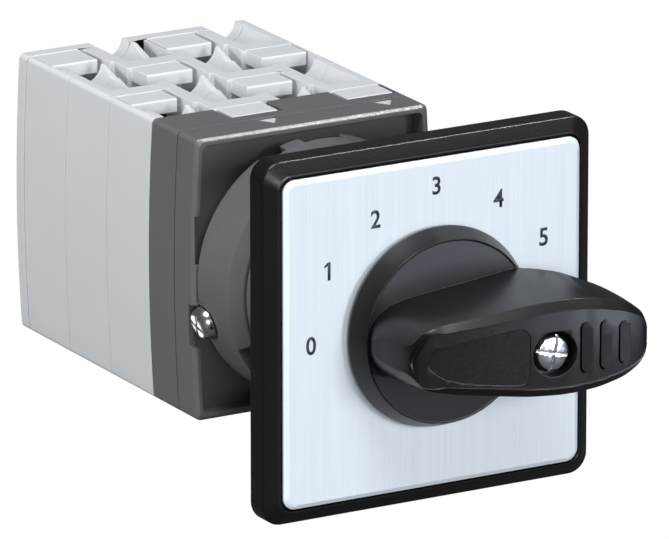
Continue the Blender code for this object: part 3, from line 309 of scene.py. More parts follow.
# Zinc-plated steel with clear passivation: bright, slightly blue, finely clouded
zincSteel = moulded("zinc-plated steel", "D4D6D8", "C2C5C9", 0.22, 0.8, 0.004, metallic=1.0)
# Silver-plated copper: warm and soft
silveredCopper = moulded("silver-plated copper", "C9C6BE", "B4B1A9", 0.32, 0.6, 0.004, metallic=1.0)
# Patented drawn spring wire: darker steel with fine draw marks
springSteel = moulded("spring steel", "8E8F92", "77787B", 0.3, 0.3, 0.003, metallic=1.0)


def brushedAluminium():  # anodised sheet brushed upright: streaks 0.28 mm wide and 34 mm long
    look, tree, shader = newLook("brushed anodised aluminium")
    where = addNode(tree, "ShaderNodeTexCoord", {}).outputs["Object"]
    scale = (1 / (0.28 * mm), 1, 1 / (34 * mm))
    streaks = addNode(tree, "ShaderNodeMapping", {"Vector": where, "Scale": scale})
    noise = {"Vector": streaks, "Scale": 1.0, "Detail": 3.0, "Roughness": 0.7}
    fine = addNode(tree, "ShaderNodeTexNoise", noise)
    tint = mapRange(tree, fine, 0.25, 0.75)
    dress(tree, shader, ("D9E5EF", "E9F1F8"), tint, fine, (0.3, 0.42), 0.25, 0.003, 0.1)
    return look


plateAluminium = brushedAluminium()
# Screen-printed ink: slate blue-black, matte, with a faint unevenness of the print
printedInk = moulded("screen-printed ink", "26323C", "2E3A44", 0.6, 0.15, 0.002)
print("cam switch: looks ready")


# Stage: camera, lights and floor

stage = {
    "eye": (-0.7906, -1.3571, 0.4788),
    "aim": (-0.01552, 0.0, 0.010115),
    "lens": 519.6,
    "world": 0.12,
    "floor": {"height": -0.095, "size": 4, "paper": "505050", "glow": 1.2, "share": 0.82},
    "litPoint": (0, 0.03, 0),
}
# A lamp without fill lights only what mirrors it, one without gloss isn't mirrored,
# and "only" names the pieces that it lights where it doesn't light all.
lamps = {
    "key": {"place": (-0.3, -0.4, 1.4), "size": 0.7, "power": 18.0, "tint": "FAFCFF"},
    "front": {"place": (-0.7, -1.75, 0.45), "size": 0.6, "power": 13.0, "tint": "FBFDFF"},
    "right": {"place": (0.4, -1.8, 0.5), "size": 0.6, "power": 18.0, "tint": "FBFDFF"},
    "side": {"place": (-1.5, 0.1, 0.4), "size": 0.7, "power": 14.0, "gloss": False},
    "line": {"place": (0.672, -0.09, 1.24), "size": 0.15, "power": 9.0, "fill": False},
    "kicker": {
        "place": (0.123, -0.229, 0.006),
        "size": 0.1,
        "power": 0.34,
        "tint": "E2ECFF",
        "fill": False,
        "only": ("leverHandle", "handleScrew"),
    },
    "spark": {"place": (-0.05, 0.12, -0.06), "size": 0.05, "power": 0.012, "only": ("lockingScrew",)},
}


def aimed(item, target):
    item.rotation_euler = (Vector(target) - item.location).to_track_quat("-Z", "Y").to_euler()


camera = bpy.data.objects.new("camera", bpy.data.cameras.new("camera"))
camera.location = stage["eye"]
aimed(camera, stage["aim"])
camera.data.lens = stage["lens"]
camera.data.sensor_width = 36
camera.data.sensor_fit = "HORIZONTAL"
camera.data.clip_start = 0.05
camera.data.clip_end = 20
scene.collection.objects.link(camera)
scene.camera = camera

for lampName, facts in lamps.items():
    lamp = bpy.data.lights.new(lampName, "AREA")
    lamp.shape = "DISK"
    lamp.size = facts["size"]
    lamp.energy = facts["power"]
    lamp.color = colour(facts.get("tint", "FFFFFF"))[:3]
    holder = bpy.data.objects.new(lampName, lamp)
    holder.location = facts["place"]
    holder.visible_diffuse = facts.get("fill", True)
    holder.visible_glossy = facts.get("gloss", True)
    holder.visible_camera = False
    aimed(holder, stage["litPoint"])
    scene.collection.objects.link(holder)

world = bpy.data.worlds.new("studio")
world.use_nodes = True
scene.world = world
tree = world.node_tree
backing = tree.nodes["Background"]
rays = addNode(tree, "ShaderNodeLightPath", {}).outputs
direct = {0: rays["Is Camera Ray"], 1: rays["Is Transmission Ray"]}
seen = addNode(tree, "ShaderNodeMath", direct, operation="MAXIMUM")
strength = mapRange(tree, seen, 0.0, 1.0, stage["world"], 1.0)
feed(tree, backing, {"Color": (1, 1, 1, 1), "Strength": strength})

ground = stage["floor"]
floorShape = bmesh.new()
bmesh.ops.create_grid(floorShape, x_segments=1, y_segments=1, size=ground["size"] / mm)
bmesh.ops.translate(floorShape, vec=(0, 0, ground["height"] / mm), verts=floorShape.verts)
floor = newPiece("floor", floorShape)
floorLook, tree, paper = newLook("white paper floor")
feed(tree, paper, {"Base Color": colour(ground["paper"]), "Roughness": 0.9})
glow = addNode(tree, "ShaderNodeEmission", {"Color": (1, 1, 1, 1), "Strength": ground["glow"]})
direct = {0: addNode(tree, "ShaderNodeLightPath", {}).outputs["Is Camera Ray"], 1: ground["share"]}
share = addNode(tree, "ShaderNodeMath", direct, operation="MULTIPLY")
layers = {0: share, 1: paper, 2: glow}
blend = addNode(tree, "ShaderNodeMixShader", layers)
feed(tree, tree.nodes["Material Output"], {"Surface": blend})
floor.data.materials.append(floorLook)

scene.view_settings.view_transform = "Standard"
print("cam switch: stage set")


# Front frame and legend plate

frontFrame = {
    "side": 64,
    "corner": 3.6,
    "straight": 4.3,
    "depth": 6.1,
    "wall": 2.3,
    "seat": 5.4,
    "web": 2.0,
    "boss": 24,
    "rib": 1.6,
    "ribs": 4,
    "gasket": (17.9, 22.7, -1.2),
    "flange": 16.3,
    "hole": 8.9,
}
legendPlate = {
    "side": 57.9,
    "corner": 2.2,
    "thickness": 1.0,
    "rim": 0.85,
    "rimDepth": 0.5,
    "hole": 8.9,
}
# angle from the top and distance from the shaft of each number
dialNumbers = {
    "places": ((-90.8, 23.9), (-59, 23.8), (-29.5, 23.1), (1.1, 24.3), (32, 23.9), (60.6, 24.8)),
    "height": 3.2,
    "narrow": 0.92,
    "bold": 0.018,
    # the stroke that a bare 1 lacks: reach, fall and thickness as shares of its height, and
    # how much thicker it is at its root
    "flag": (0.22, 0.18, 0.12, 1.6),
    "lift": 0.02,  # of the ink's middle over the plate
    "ink": 0.018,
}


def makeFrame():
    f = frontFrame
    inner = f["side"] - 2 * f["wall"]
    outside = roundedSquare(f["side"], f["corner"])
    inside = roundedSquare(inner, f["corner"] - f["wall"] / 2)
    sections = ((outside, 0), (outside, -f["straight"]), (inside, -f["depth"]))
    piece = newPiece("frontFrame", loft(*sections))
    seat = roundedSquare(legendPlate["side"] + 2 * gap, legendPlate["corner"])
    carve(piece, prism(seat, -f["depth"] - past, -f["seat"]))
    webBack = f["seat"] - f["web"]
    cavity = newPiece("cavity", prism(inside, -webBack, past))
    carve(cavity, rod(-webBack - past, 2 * past, f["boss"], 96))
    for rib in range(f["ribs"]):
        low, high = (-f["side"], -webBack - past, -f["rib"] / 2), (f["side"], 2 * past, f["rib"] / 2)
        carve(cavity, block(low, high, pi * rib / f["ribs"]))
    carve(piece, flatten(cavity))
    inner, outer, front = f["gasket"]
    carve(
        piece,
        rod(-webBack, past, f["flange"], 96),
        rod(-f["depth"], 0, f["hole"], 64),
        lathe([(inner, front), (outer, front), (outer, past), (inner, past)]),
    )
    softenEdges(piece, 0.35, 3)
    place(piece, blackPolyamide, "frame_plastic", "front_frame")


def makePlate():
    p = legendPlate
    front = -plateFace
    outside = roundedSquare(p["side"], p["corner"])
    face = roundedSquare(p["side"] - 2 * p["rim"], p["corner"] - p["rim"] / 2)
    edge, back = front + p["rimDepth"], front + p["thickness"]
    piece = newPiece("legendPlate", loft((face, front), (outside, edge), (outside, back)))
    carve(piece, rod(front - past, 0, p["hole"], 64))
    softenEdges(piece, 0.06, 1)
    place(piece, plateAluminium, "legend_plate", "legend_plate")


def numberMesh(number):  # a number's flat outline, with its middle at the origin and 1 high
    text = bpy.data.curves.new("number", "FONT")
    text.body = str(number)
    text.offset = dialNumbers["bold"]
    holder = bpy.data.objects.new("number", text)
    scene.collection.objects.link(holder)
    bpy.context.view_layer.update()
    mesh = bpy.data.meshes.new_from_object(holder.evaluated_get(bpy.context.evaluated_depsgraph_get()))
    bpy.data.objects.remove(holder)
    xs = [v.co.x for v in mesh.vertices]
    ys = [v.co.y for v in mesh.vertices]
    size = max(ys) - min(ys)
    middle = Vector(((min(xs) + max(xs)) / 2, (min(ys) + max(ys)) / 2, 0))
    mesh.transform(Matrix.Diagonal((1 / size, 1 / size, 1, 1)) @ Matrix.Translation(-middle))
    if number == 1:
        reach, fall, thick, root = dialNumbers["flag"]
        stem = (min(xs) - middle.x) / size
        flag = bmesh.new()
        flag.from_mesh(mesh)
        left, low = stem - reach, 0.5 - fall
        corners = ((stem, 0.5), (left, low), (left, low - thick), (stem, 0.5 - thick * root))
        flag.faces.new([flag.verts.new((x, y, 0)) for x, y in corners])
        flag.to_mesh(mesh)
        flag.free()
    return mesh


def makeNumbers():
    d = dialNumbers
    shape = bmesh.new()
    for number, (angle, radius) in enumerate(d["places"]):
        mesh = numberMesh(number)
        x, z = polar(angle, radius)
        spot = Matrix.Translation((x, -plateFace - d["lift"], z))
        size = Matrix.Diagonal((d["height"] * d["narrow"], d["height"], 1, 1))
        mesh.transform(spot @ Matrix.Rotation(pi / 2, 4, "X") @ size)
        shape.from_mesh(mesh)
    piece = newPiece("dialNumbers", settled(shape))
    ink = piece.modifiers.new("ink", "SOLIDIFY")
    ink.thickness = d["ink"] * mm
    ink.offset = 0
    flatten(piece)
    place(piece, printedInk, "legend_plate")


makeFrame()
makePlate()
makeNumbers()
print("cam switch: frame and plate ready")


# Bayonet collar, bayonet ring and its locking screw

collar = {
    "front": 11.2,
    "rear": 21.6,
    "radius": 20.6,
    "chamfer": 0.8,
    "bore": 13.96,
    "web": 15.2,
    "neck": 11.3,
    "keyway": (11, 3.8),  # where it starts in the neck's wall, and half its width
}
bayonetRing = {
    "front": 21.9,
    "rear": 34.2,
    "radius": 23.2,
    "chamferDepth": 1.8,
    "wall": 3.7,
    "web": 3.3,
    "spigot": 2.6,
    "spigotRadius": 13.66,
    "notches": ((-23, 11), (2, 20)),  # middle and width in degrees
    "notchDepth": 2.6,
    "cutaway": (-150, -115),
}
lockScrew = {
    "y": 32.9,
    "angle": -107.3,
    "head": {"radius": 3.0, "top": 2.4, "thickness": 2.0, "slot": (0.6, 0.7), "tilt": 20},
    "sink": 0.3,
    "shank": 1.5,
    "tip": 17,
    "clear": 46,  # where the head's way is outside the ring
    "headRoom": 0.4,
}


def lockPoint(radius):  # a point on the locking screw's axis, which points at the shaft
    x, z = polar(lockScrew["angle"], radius)
    return x, lockScrew["y"], z


def makeCollar():
    c = collar
    front, rear, radius, chamfer = c["front"], c["rear"], c["radius"], c["chamfer"]
    profile = [
        (c["neck"], front),
        (radius - chamfer, front),
        (radius, front + chamfer),
        (radius, rear),
        (c["bore"], rear),
        (c["bore"], c["web"]),
        (c["neck"], c["web"]),
    ]
    piece = newPiece("bayonetCollar", lathe(profile))
    for side in (-1, 1):
        start, half = c["keyway"]
        near, far = sorted((side * start, side * (c["bore"] - gap)))
        carve(piece, block((-half, front - past, near), (half, c["web"] + past, far)))
    softenEdges(piece, 0.2)
    place(piece, darkPolyamide, "dark_plastic", "bayonet_collar")


def makeRing():
    r = bayonetRing
    front, rear, radius = r["front"], r["rear"], r["radius"]
    inner, webRear = radius - r["wall"], front + r["web"]
    profile = [
        (shaftBore, front - r["spigot"]),
        (r["spigotRadius"], front - r["spigot"]),
        (r["spigotRadius"], front),
        (collar["radius"] + gap, front),
        (radius, front + r["chamferDepth"]),
        (radius, rear),
        (inner, rear),
        (inner, webRear),
        (shaftBore, webRear),
    ]
    piece = newPiece("bayonetRing", lathe(profile))
    for middle, width in r["notches"]:
        half = radius * sin(radians(width / 2))
        low = (-half, rear - r["notchDepth"], inner + gap)
        carve(piece, block(low, (half, rear + past, radius + past), radians(middle)))
    s = lockScrew
    outside = lockPoint(s["clear"])
    first, last = r["cutaway"]
    wedge = [polar(first, collar["radius"]), polar(last, collar["radius"])]
    wedge += [polar(angle, s["clear"]) for angle in (last, (first + last) / 2, first)]
    carve(
        piece,
        prism(wedge, front - past, front + r["chamferDepth"]),
        bar(outside, lockPoint(s["tip"]), s["shank"] + gap),
        bar(outside, lockPoint(radius - s["sink"]), s["head"]["radius"] + s["headRoom"]),
    )
    softenEdges(piece, 0.22)
    place(piece, darkPolyamide, "dark_plastic", "bayonet_ring")


def crossHead(name, centre, outward, head):
    # A pan head with a cross slot. It is made facing -Y and turned to face outward.
    radius, top, thickness = head["radius"], head["top"], head["thickness"]
    crown, lip, sides = 0.35, 0.01, 64
    flank = thickness - crown
    sections = [(radius, 0)]
    for share in (step / 10 for step in range(11)):
        sections.append((radius - (radius - top) * share**2, -flank * share - lip))
    for share in (step / 7 for step in range(1, 7)):
        sections.append((top * cos(share * pi / 2), -flank - crown * sin(share * pi / 2) - lip))
    turns = [2 * pi * i / sides for i in range(sides)]
    rings = [[(r * cos(a), y, r * sin(a)) for a in turns] for r, y in sections]
    piece = newPiece(name, skin(rings))
    width, depth = head["slot"]
    reach, half = radius + past, width / 2
    low, high = (-reach, -thickness - past, -half), (reach, depth - thickness, half)
    for turn in (head["tilt"], head["tilt"] + 90):
        carve(piece, block(low, high, radians(turn)))
    flatten(piece)
    turned = Vector(outward).to_track_quat("-Y", "Z").to_matrix().to_4x4()
    piece.data.transform(Matrix.Translation(Vector(centre) * mm) @ turned)
    return piece


def makeLockScrew():
    s = lockScrew
    back = bayonetRing["radius"] - s["sink"] + gap
    outward = Vector(lockPoint(1)) - Vector(lockPoint(0))
    piece = crossHead("lockingScrew", lockPoint(back), outward, s["head"])
    weld(piece, bar(lockPoint(back + gap), lockPoint(s["tip"]), s["shank"]))
    softenEdges(piece, 0.1)
    place(piece, zincSteel, "zinc_steel", "locking_screw")


makeCollar()
makeRing()
makeLockScrew()
print("cam switch: bayonet ready")


# Latching housing in two shells

shells = {
    "rim": 1.3,
    "rimDepth": 4.0,
    "rimChamfer": (0.55, 0.72),
    # lower and upper end, what is left outside, and depth; the locking screw's head fills the second
    "rimNotches": ((3.0, 11.6, 0.35, 3.7), (-12.0, -4.3, -3.0, 1.9)),
    "hubRadius": 17,
    "hubBore": 14.5,
    "hubFront": 26.5,
    "bearing": 7.5,
    "scoop": (4.0, 0.15, 2.6),  # its length, and its radius at both ends
    "pitDepth": 4.4,
    # the pale inlay in a scoop, as (x, y) from its column and the shells' split, and how deep it lies
    "inlay": ((-2.5, 0.0), (3.0, 0.0), (0.3, -3.1), (-1.2, -2.7)),
    "inlayDepth": (0.3, 0.8),
    "starRoom": 9.2,
    "stopRoom": (46.1, 11.8),  # where it starts, and its radius
    # a detent's guide: half its height, its inner end, the outer end of its spring, and its rear wall
    "guide": (3.9, 8.5, 21.83, 46.3),
}
bolts = {
    "places": ((-9.82, 9.98), (9.82, -9.98)),  # seen from the front, left and right
    "hole": 1.8,
    "radius": 1.5,
    "head": 2.7,
    "thickness": 1.4,
    "slot": 0.6,
    "tip": 39.8,
}


def bodyHalfWidth(z):
    return halfWidth + bulge * (1 - (z / halfHeight) ** 2)


def bodyOutline(inset=0.0, steps=24):
    reach = halfHeight - inset
    right = []
    for step in range(steps + 1):
        z = (reach - bodyCorner) * (2 * step / steps - 1)
        right.append((bodyHalfWidth(z) - inset, z))
    edge = bodyHalfWidth(reach) - inset - bodyCorner
    top = reach - bodyCorner
    turns = (radians(30), radians(60))
    upper = [(edge + bodyCorner * cos(a), top + bodyCorner * sin(a)) for a in turns]
    lower = [(x, -z) for x, z in reversed(upper)]
    half = [(edge, -reach)] + lower + right + upper + [(edge, reach)]
    return half + [(-x, z) for x, z in reversed(half)]


def evenColumns(even):  # which columns an even piece's tongues spring from
    return columns[1::2] if even else columns[0::2]


def ways(even):  # those columns above and below the shaft
    return [(side, column) for side in (1, -1) for column in evenColumns(even)]


def pocket(side, inner, outer, front, rear, half):  # a room at one side of the shaft
    near, far = sorted((side * inner, side * outer))
    return block((near, front, -half), (far, rear, half))


def mirrored(side, low, high):  # for the top, or turned half round the shaft for the bottom
    return block(low, high, 0 if side > 0 else pi)


def boltHoles(front, rear):
    return [rod(front, rear, bolts["hole"], 32, x, z) for x, z in bolts["places"]]


def makeFrontShell():
    s = shells
    front, split = shellFront, shellSplit - gap / 2
    inset, fall = s["rimChamfer"]
    face, outline = bodyOutline(inset), bodyOutline()
    piece = newPiece("mechCover", loft((face, front), (outline, front + fall), (outline, split)))
    sunk = front + s["rimDepth"]
    carve(piece, prism(bodyOutline(s["rim"]), front - past, sunk))
    for low, high, outside, depth in s["rimNotches"]:
        left, right = outside - bodyHalfWidth(high), s["rim"] + past - halfWidth
        carve(piece, block((left, front - past, low), (right, front + depth, high)))
    hub = newPiece("hub", rod(s["hubFront"], sunk + past, s["hubRadius"], 96))
    carve(hub, rod(s["hubFront"] - past, sunk, s["hubBore"], 96))
    weld(piece, flatten(hub), rod(s["hubFront"], sunk + past, s["bearing"], 64))
    carve(piece, rod(s["hubFront"] - past, shellRear, shaftBore))
    rear = shellSplit + gap
    length, tip, mouth = s["scoop"]
    for column in evenColumns(True):
        for side in (1, -1):
            x, z = side * column, side * halfHeight
            carve(piece, bar((x, rear - length, z), (x, rear, z), tip, mouth, 4))
    carve(piece, *boltHoles(sunk + past, shellSplit + past))
    softenEdges(piece, 0.16)
    place(piece, darkPolyamide, "dark_plastic", "mech_cover")


def makeInlays():  # what shows pale through the scoops of the front shell
    y = shellSplit - gap / 2
    merged = bmesh.new()
    for side, column in ways(True):
        rings = []
        for depth in shells["inlayDepth"]:
            z = side * (halfHeight - depth)
            rings.append([(side * (column + x), y + along, z) for x, along in shells["inlay"]])
        skin(rings, shape=merged)
    piece = newPiece("scoopInlays", merged)
    softenEdges(piece, 0.05, 1)
    place(piece, lightPolyamide, "light_plastic")


def makeRearShell():
    s = shells
    front, rear = shellSplit + gap / 2, shellRear
    piece = newPiece("mechHousing", prism(bodyOutline(), front, rear))
    stop, radius = s["stopRoom"]
    carve(
        piece,
        rod(front - past, rear + past, s["starRoom"], 64),
        rod(stop, rear + past, radius, 64),
    )
    tall, inner, outer, wall = s["guide"]
    for side in (-1, 1):
        carve(piece, pocket(side, inner, outer + gap, front - past, wall, tall))
    carve(piece, *boltHoles(front - past, rear + past))
    half = decks["tongueWidth"] / 2 + decks["slit"]
    start = deckFronts[0] - decks["tongueReach"] - decks["pitAhead"]
    for side, column in ways(True):
        low = (max(column - half, -pitLimit), start, halfHeight - s["pitDepth"])
        high = (min(column + half, pitLimit), rear + past, halfHeight + past)
        carve(piece, mirrored(side, low, high))
    softenEdges(piece, 0.16)
    place(piece, darkPolyamide, "dark_plastic", "mech_housing")


# Contact decks and the end cover

decks = {
    "web": 2.0,
    "seam": 0.1,  # what each deck gives to the gap between two
    "band": 3.9,
    "tongueWidth": 9.1,
    "tongueThickness": 2.5,
    "tongueReach": 5.9,
    "tongueSunk": 0.1,
    "pitAhead": 0.5,  # how far a pit in the rear shell starts before the tongue in it
    "coverReach": 7.4,
    "coverRoot": 1.4,
    "coverSkin": 1.2,
    "slit": 0.8,
    "pitStart": 4.7,
    "pitFloor": 14.2,
    "channel": 3.35,
    "fin": 0.8,
    "slope": 0.296,
    "lastApex": 1,  # where the last deck's fins are highest, before its rear
    "trough": 2.0,
    "troughDepth": 4.6,
    "camRoom": 9.2,
    "contactAt": 8.6,
    "plungerRoom": (8.5, 3.3),  # its inner end, and half its height
    "stripX": 14.4,
    # room round a contact strip: behind its plunger, beside it, and below and above its arm
    "strip": (0.4, 1.3, 0.15, 1.6),
    "chamber": (22.13, 10.0),  # its outer end, and half its height
    "nose": 0.4,  # radius of a tongue's front edge
}


def finSlope(side, column, apex, front):  # what is cut off above a fin that falls towards the front
    near = column + decks["channel"] - past / 2
    far = column + decks["channel"] + decks["fin"] + past / 2
    low = halfHeight - decks["slope"] * (apex - front)
    section = [(apex, halfHeight), (apex, halfHeight + past), (front, halfHeight + past), (front, low)]
    return skin([[(side * x, y, side * z) for y, z in section] for x in (near, far)])


def terminalCuts(front, rear, pits, last):
    d = decks
    pitFront = front + d["pitStart"]
    apex = rear - d["lastApex"] if last else rear + gap + d["pitStart"]
    shapes = []
    for side in (1, -1):
        for column in columns:
            x, z = side * column, side * (halfHeight + gap)
            if column in pits:
                near = column - d["tongueWidth"] / 2 - d["slit"] / 2
                left = max(near if last else column - pitch + d["channel"] + d["fin"] + gap, -pitLimit)
                right = min(column + d["tongueWidth"] / 2 + d["slit"], pitLimit)
                low = (left, pitFront, d["pitFloor"])
                shapes.append(mirrored(side, low, (right, rear + past, halfHeight + past)))
                start, end = front - past, pitFront + gap
                slopeFront, slopeApex = front - gap, pitFront
                troughEnd = end
            else:
                start, end = front + d["band"], rear + past
                slopeFront, slopeApex = front + d["band"], apex
                troughEnd = end if last else pitFront + gap
            shapes.append(rod(start, end, d["channel"], 48, x, z))
            if column != columns[-1]:
                shapes.append(finSlope(side, column, slopeApex, slopeFront))
                near = column + d["channel"] + d["fin"]
                low = (near, start, halfHeight - d["troughDepth"])
                shapes.append(mirrored(side, low, (near + d["trough"], troughEnd, halfHeight + past)))
    return shapes


def tongue(side, left, right, front, rear):  # flat, with a rounded front upper edge
    nose, top = decks["nose"], halfHeight - decks["tongueSunk"]
    bottom = top - decks["tongueThickness"]
    turns = [pi / 2 * i / 6 for i in range(7)]
    arc = [(front + nose * (1 - sin(a)), top - nose * (1 - cos(a))) for a in turns]
    section = [(rear, bottom), (rear, top)] + arc + [(front, bottom)]
    return skin([[(side * x, y, side * z) for y, z in section] for x in (left, right)])


def makeDeck(number):
    d = decks
    front = deckFronts[number]
    rear = front + deckLength
    even = number % 2 == 0
    last = number == len(deckFronts) - 1
    piece = newPiece(f"deck{number + 1}", prism(bodyOutline(), front - d["seam"], rear + d["seam"]))
    carve(piece, *terminalCuts(front, rear, evenColumns(not even), last))
    half, tip = d["tongueWidth"] / 2, front - d["tongueReach"]
    for side, column in ways(even):
        right = min(column + half, pitLimit - gap)
        weld(piece, tongue(side, column - half, right, tip, front + d["band"] / 2))
    carve(
        piece,
        rod(front - past, rear, shaftBore),
        rod(front + d["web"], rear + past, d["camRoom"], 64),
    )
    plunger, plungerHalf = d["plungerRoom"]
    outer, chamberHalf = d["chamber"]
    behind, beside, below, above = d["strip"]
    contact, inner = front + d["contactAt"], d["stripX"]
    for side in (-1, 1):
        carve(
            piece,
            pocket(side, plunger, inner, contact - behind, rear + past, plungerHalf),
            pocket(side, inner - behind, outer, front + d["web"], rear + past, chamberHalf),
        )
    near, far = inner - gap, inner + beside
    arm, roof, foot = d["pitFloor"] - below, d["pitFloor"] + above, chamberHalf - past
    for side, column in ways(not even):
        hand, x = (side, column) if column > 0 else (-side, -column)
        if x > far:
            bend = [(far, arm), (x, arm), (x, roof), (near, roof)]
        else:
            bend = [(far, roof), (x, roof), (x, arm), (near, arm)]
        outline = [(hand * x, side * z) for x, z in [(near, foot), (far, foot)] + bend]
        carve(piece, prism(outline, contact - gap, rear + past))
    carve(piece, *boltHoles(front - past, rear + past))
    softenEdges(piece, 0.14)
    place(piece, lightPolyamide, "light_plastic", f"deck_{number + 1}")


def makeCover():
    d = decks
    front, rear = coverFront, coverRear
    even = len(deckFronts) % 2 == 0
    half = d["tongueWidth"] / 2
    piece = newPiece("rearCover", prism(bodyOutline(), front, rear))
    start, root = front - d["coverReach"], front + d["coverRoot"]
    for side in (1, -1):
        for column in evenColumns(even):
            left = max(column - half, gap - pitLimit)
            weld(piece, tongue(side, left, column + half, start, root))
        for column in evenColumns(not even):
            x, z = side * column, side * (halfHeight + gap)
            carve(piece, rod(front - past, rear + past, d["channel"], 48, x, z))
    carve(piece, rod(front - past, rear - d["coverSkin"], shaftBore))
    carve(piece, *boltHoles(front - past, rear + past))
    seat = rear - bolts["thickness"] - gap
    for x, z in bolts["places"]:
        carve(piece, rod(seat, rear + past, bolts["head"] + gap, 48, x, z))
    softenEdges(piece, 0.16)
    place(piece, lightPolyamide, "light_plastic", "rear_cover")


def makeBolts():
    b = bolts
    seat, middle = coverRear - b["thickness"], coverRear - b["thickness"] / 2
    reach, half = b["head"] + past, b["slot"] / 2
    for word, (x, z) in zip(("left", "right"), b["places"]):
        piece = newPiece(f"tieBolt.{word}", rod(seat, coverRear, b["head"], 64, x, z))
        weld(piece, rod(b["tip"], seat + gap, b["radius"], 48, x, z))
        low, high = (x - reach, middle, z - half), (x + reach, coverRear + past, z + half)
        carve(piece, block(low, high))
        softenEdges(piece, 0.12)
        place(piece, zincSteel, "zinc_steel", f"tie_bolt_{word}")


makeFrontShell()
makeInlays()
makeRearShell()
print("cam switch: latching housing ready")
for number in range(len(deckFronts)):
    makeDeck(number)
makeCover()
makeBolts()
print("cam switch: decks ready")


# Handle: disc, grip and screw

handle = {
    "discRadius": 17.7,
    "discFace": 16.2,
    "discHeight": 5.5,
    "discEdge": 1.7,
    "discRound": 0.3,
    "discStep": 0.15,
    "lift": 0.4,
    "draft": 0.6,
    "foot": 4.95,  # how far the grip reaches down into the disc
    "crease": (0.45, 5.05),  # round the grip's foot: its width and the height of its floor
    "creaseEnd": (13, 16.5),  # where it stops widening with the foot, and where it ends
    # along the grip: half-widths at the foot and at the face, heights of the underside and the face
    "stations": (
        (-15.7, 1.2, 1.0, 5.2, 6.4), (-15.3, 2.6, 2.0, 5.2, 8.6),
        (-14.8, 3.6, 2.4, 5.2, 12.4), (-14.25, 4.3, 2.6, 5.2, 16.2),
        (-13.5, 5.0, 3.7, 5.2, 17.5), (-12.7, 5.55, 4.7, 5.2, 18.1),
        (-11.6, 6.15, 5.3, 5.2, 18.75), (-10.3, 6.55, 5.7, 5.2, 19.3),
        (-7.1, 7.1, 6.3, 5.2, 20.4), (-1.3, 7.7, 7.1, 5.2, 21.8),
        (5.5, 8.4, 8.0, 5.2, 23.0), (10.5, 9.0, 8.3, 5.2, 23.7),
        (13.0, 9.15, 8.3, 5.2, 24.0), (15.5, 9.05, 8.2, 6.0, 24.2),
        (17.3, 8.9, 8.0, 7.4, 24.4), (18.8, 8.9, 7.8, 10.0, 24.5),
        (20.6, 8.4, 7.4, 13.0, 24.6), (23.5, 7.2, 6.5, 15.8, 24.7),
        (26.2, 5.4, 4.9, 18.4, 24.5), (27.3, 3.8, 3.4, 19.6, 24.2),
        (27.9, 1.9, 1.6, 20.8, 23.7),
    ),
    "bevel": (1.5, 1.3),  # the band round the face: its width and its height
    "step": (0.12, 0.3),  # from the band down to the face
    # where the band starts, how far it takes to grow, its least share, and the face it is whole on
    "tip": (-13.4, 4.2, 0.12, 7.5),
    "crown": 0.18,
    # a sunk leaf on the face: along the grip, its lower and upper edge
    "leaf": (
        (-11.9, -0.9, 0.1), (-11.6, -1.4, 0.6), (-11.0, -2.0, 1.3), (-10.0, -2.9, 2.1),
        (-8.6, -3.6, 2.65), (-6.0, -4.3, 3.05), (-3.0, -4.8, 3.5), (0.5, -5.25, 3.95),
        (3.6, -5.55, 4.3), (4.6, -5.4, 4.1), (5.2, -4.8, 3.5), (5.5, -3.9, 2.6),
    ),
    "leafDepth": (0.6, 0.12),  # at its tip and at its other end
    "dip": {"x": -7.4, "z": -0.5, "radius": 6.6, "from": 198, "to": 122, "thick": 0.6, "rise": 0.4},
    "grooves": ((14.5, 4.5), (18.12, 4.4), (21.75, 3.8)),  # where each begins and its half-length
    "grooveWidth": 2.4,
    "grooveDepth": 1.2,
    "slitWidth": 0.55,
    "floor": (0.3, 0.03),  # how deep the floor is beside the slit and at its right end
    "grooveRound": 1.1,
    "grooveMiddle": -0.2,
    "screw": (10.0, -0.7),
    "well": 4.0,
    "head": {"radius": 3.5, "top": 2.95, "thickness": 2.0, "slot": (0.5, 0.75), "tilt": 14},
    "headSink": 0.8,
    "shank": (1.5, 6.2),  # radius, and where it ends in front of the plate's face
    "shankHole": 1.8,
    "column": (3.5, 12.3),  # round that hole, from below: radius and height
    "hollow": (14.7, 4.7),  # under the disc
    "clear": 36,  # outside everything
}


def gripRing(station):  # half a section from the foot to the crown, mirrored
    along, foot, face, low, high = station
    low = min(low, handle["foot"]) if low < handle["discHeight"] else low
    start, length, least, whole = handle["tip"]
    share = min(1, face / whole) * min(max((along - start) / length, least), 1)
    thinnest, bow = 0.03, 1.7
    width, fall = (size * share for size in handle["bevel"])
    across, down = (max(size * share, thinnest) for size in handle["step"])
    inner = face - width - across
    shares = (0, 0.3, 0.55, 0.78, 1)
    flank = [(foot + (face - foot) * t**bow, low + (high - fall - low) * t) for t in shares]
    half = flank + [
        (face - width, high),
        (inner, high - down),
        (inner / 2, high - down + handle["crown"] * share * 0.75),
        (0, high - down + handle["crown"] * share),
    ]
    ring = half + [(-z, h) for z, h in reversed(half[:-1])]
    return [(along, -plateFace - h, z) for z, h in ring]


def smoothStations(stations, steps=4):  # Catmull-Rom through the stations
    padded = [stations[0], *stations, stations[-1]]
    result = []
    for four in zip(padded, padded[1:], padded[2:], padded[3:]):
        for t in (step / steps for step in range(steps)):
            station = []
            for a, b, c, d in zip(*four):
                bends = (2 * a - 5 * b + 4 * c - d) * t**2 + (3 * b - a - 3 * c + d) * t**3
                station.append(0.5 * (2 * b + (c - a) * t + bends))
            result.append(station)
    return result + [stations[-1]]


def faceHeight(x):
    stations = [(station[0], station[4]) for station in handle["stations"]]
    for (near, low), (far, high) in zip(stations, stations[1:]):
        if x <= far:
            return low + (x - near) / (far - near) * (high - low)
    return high


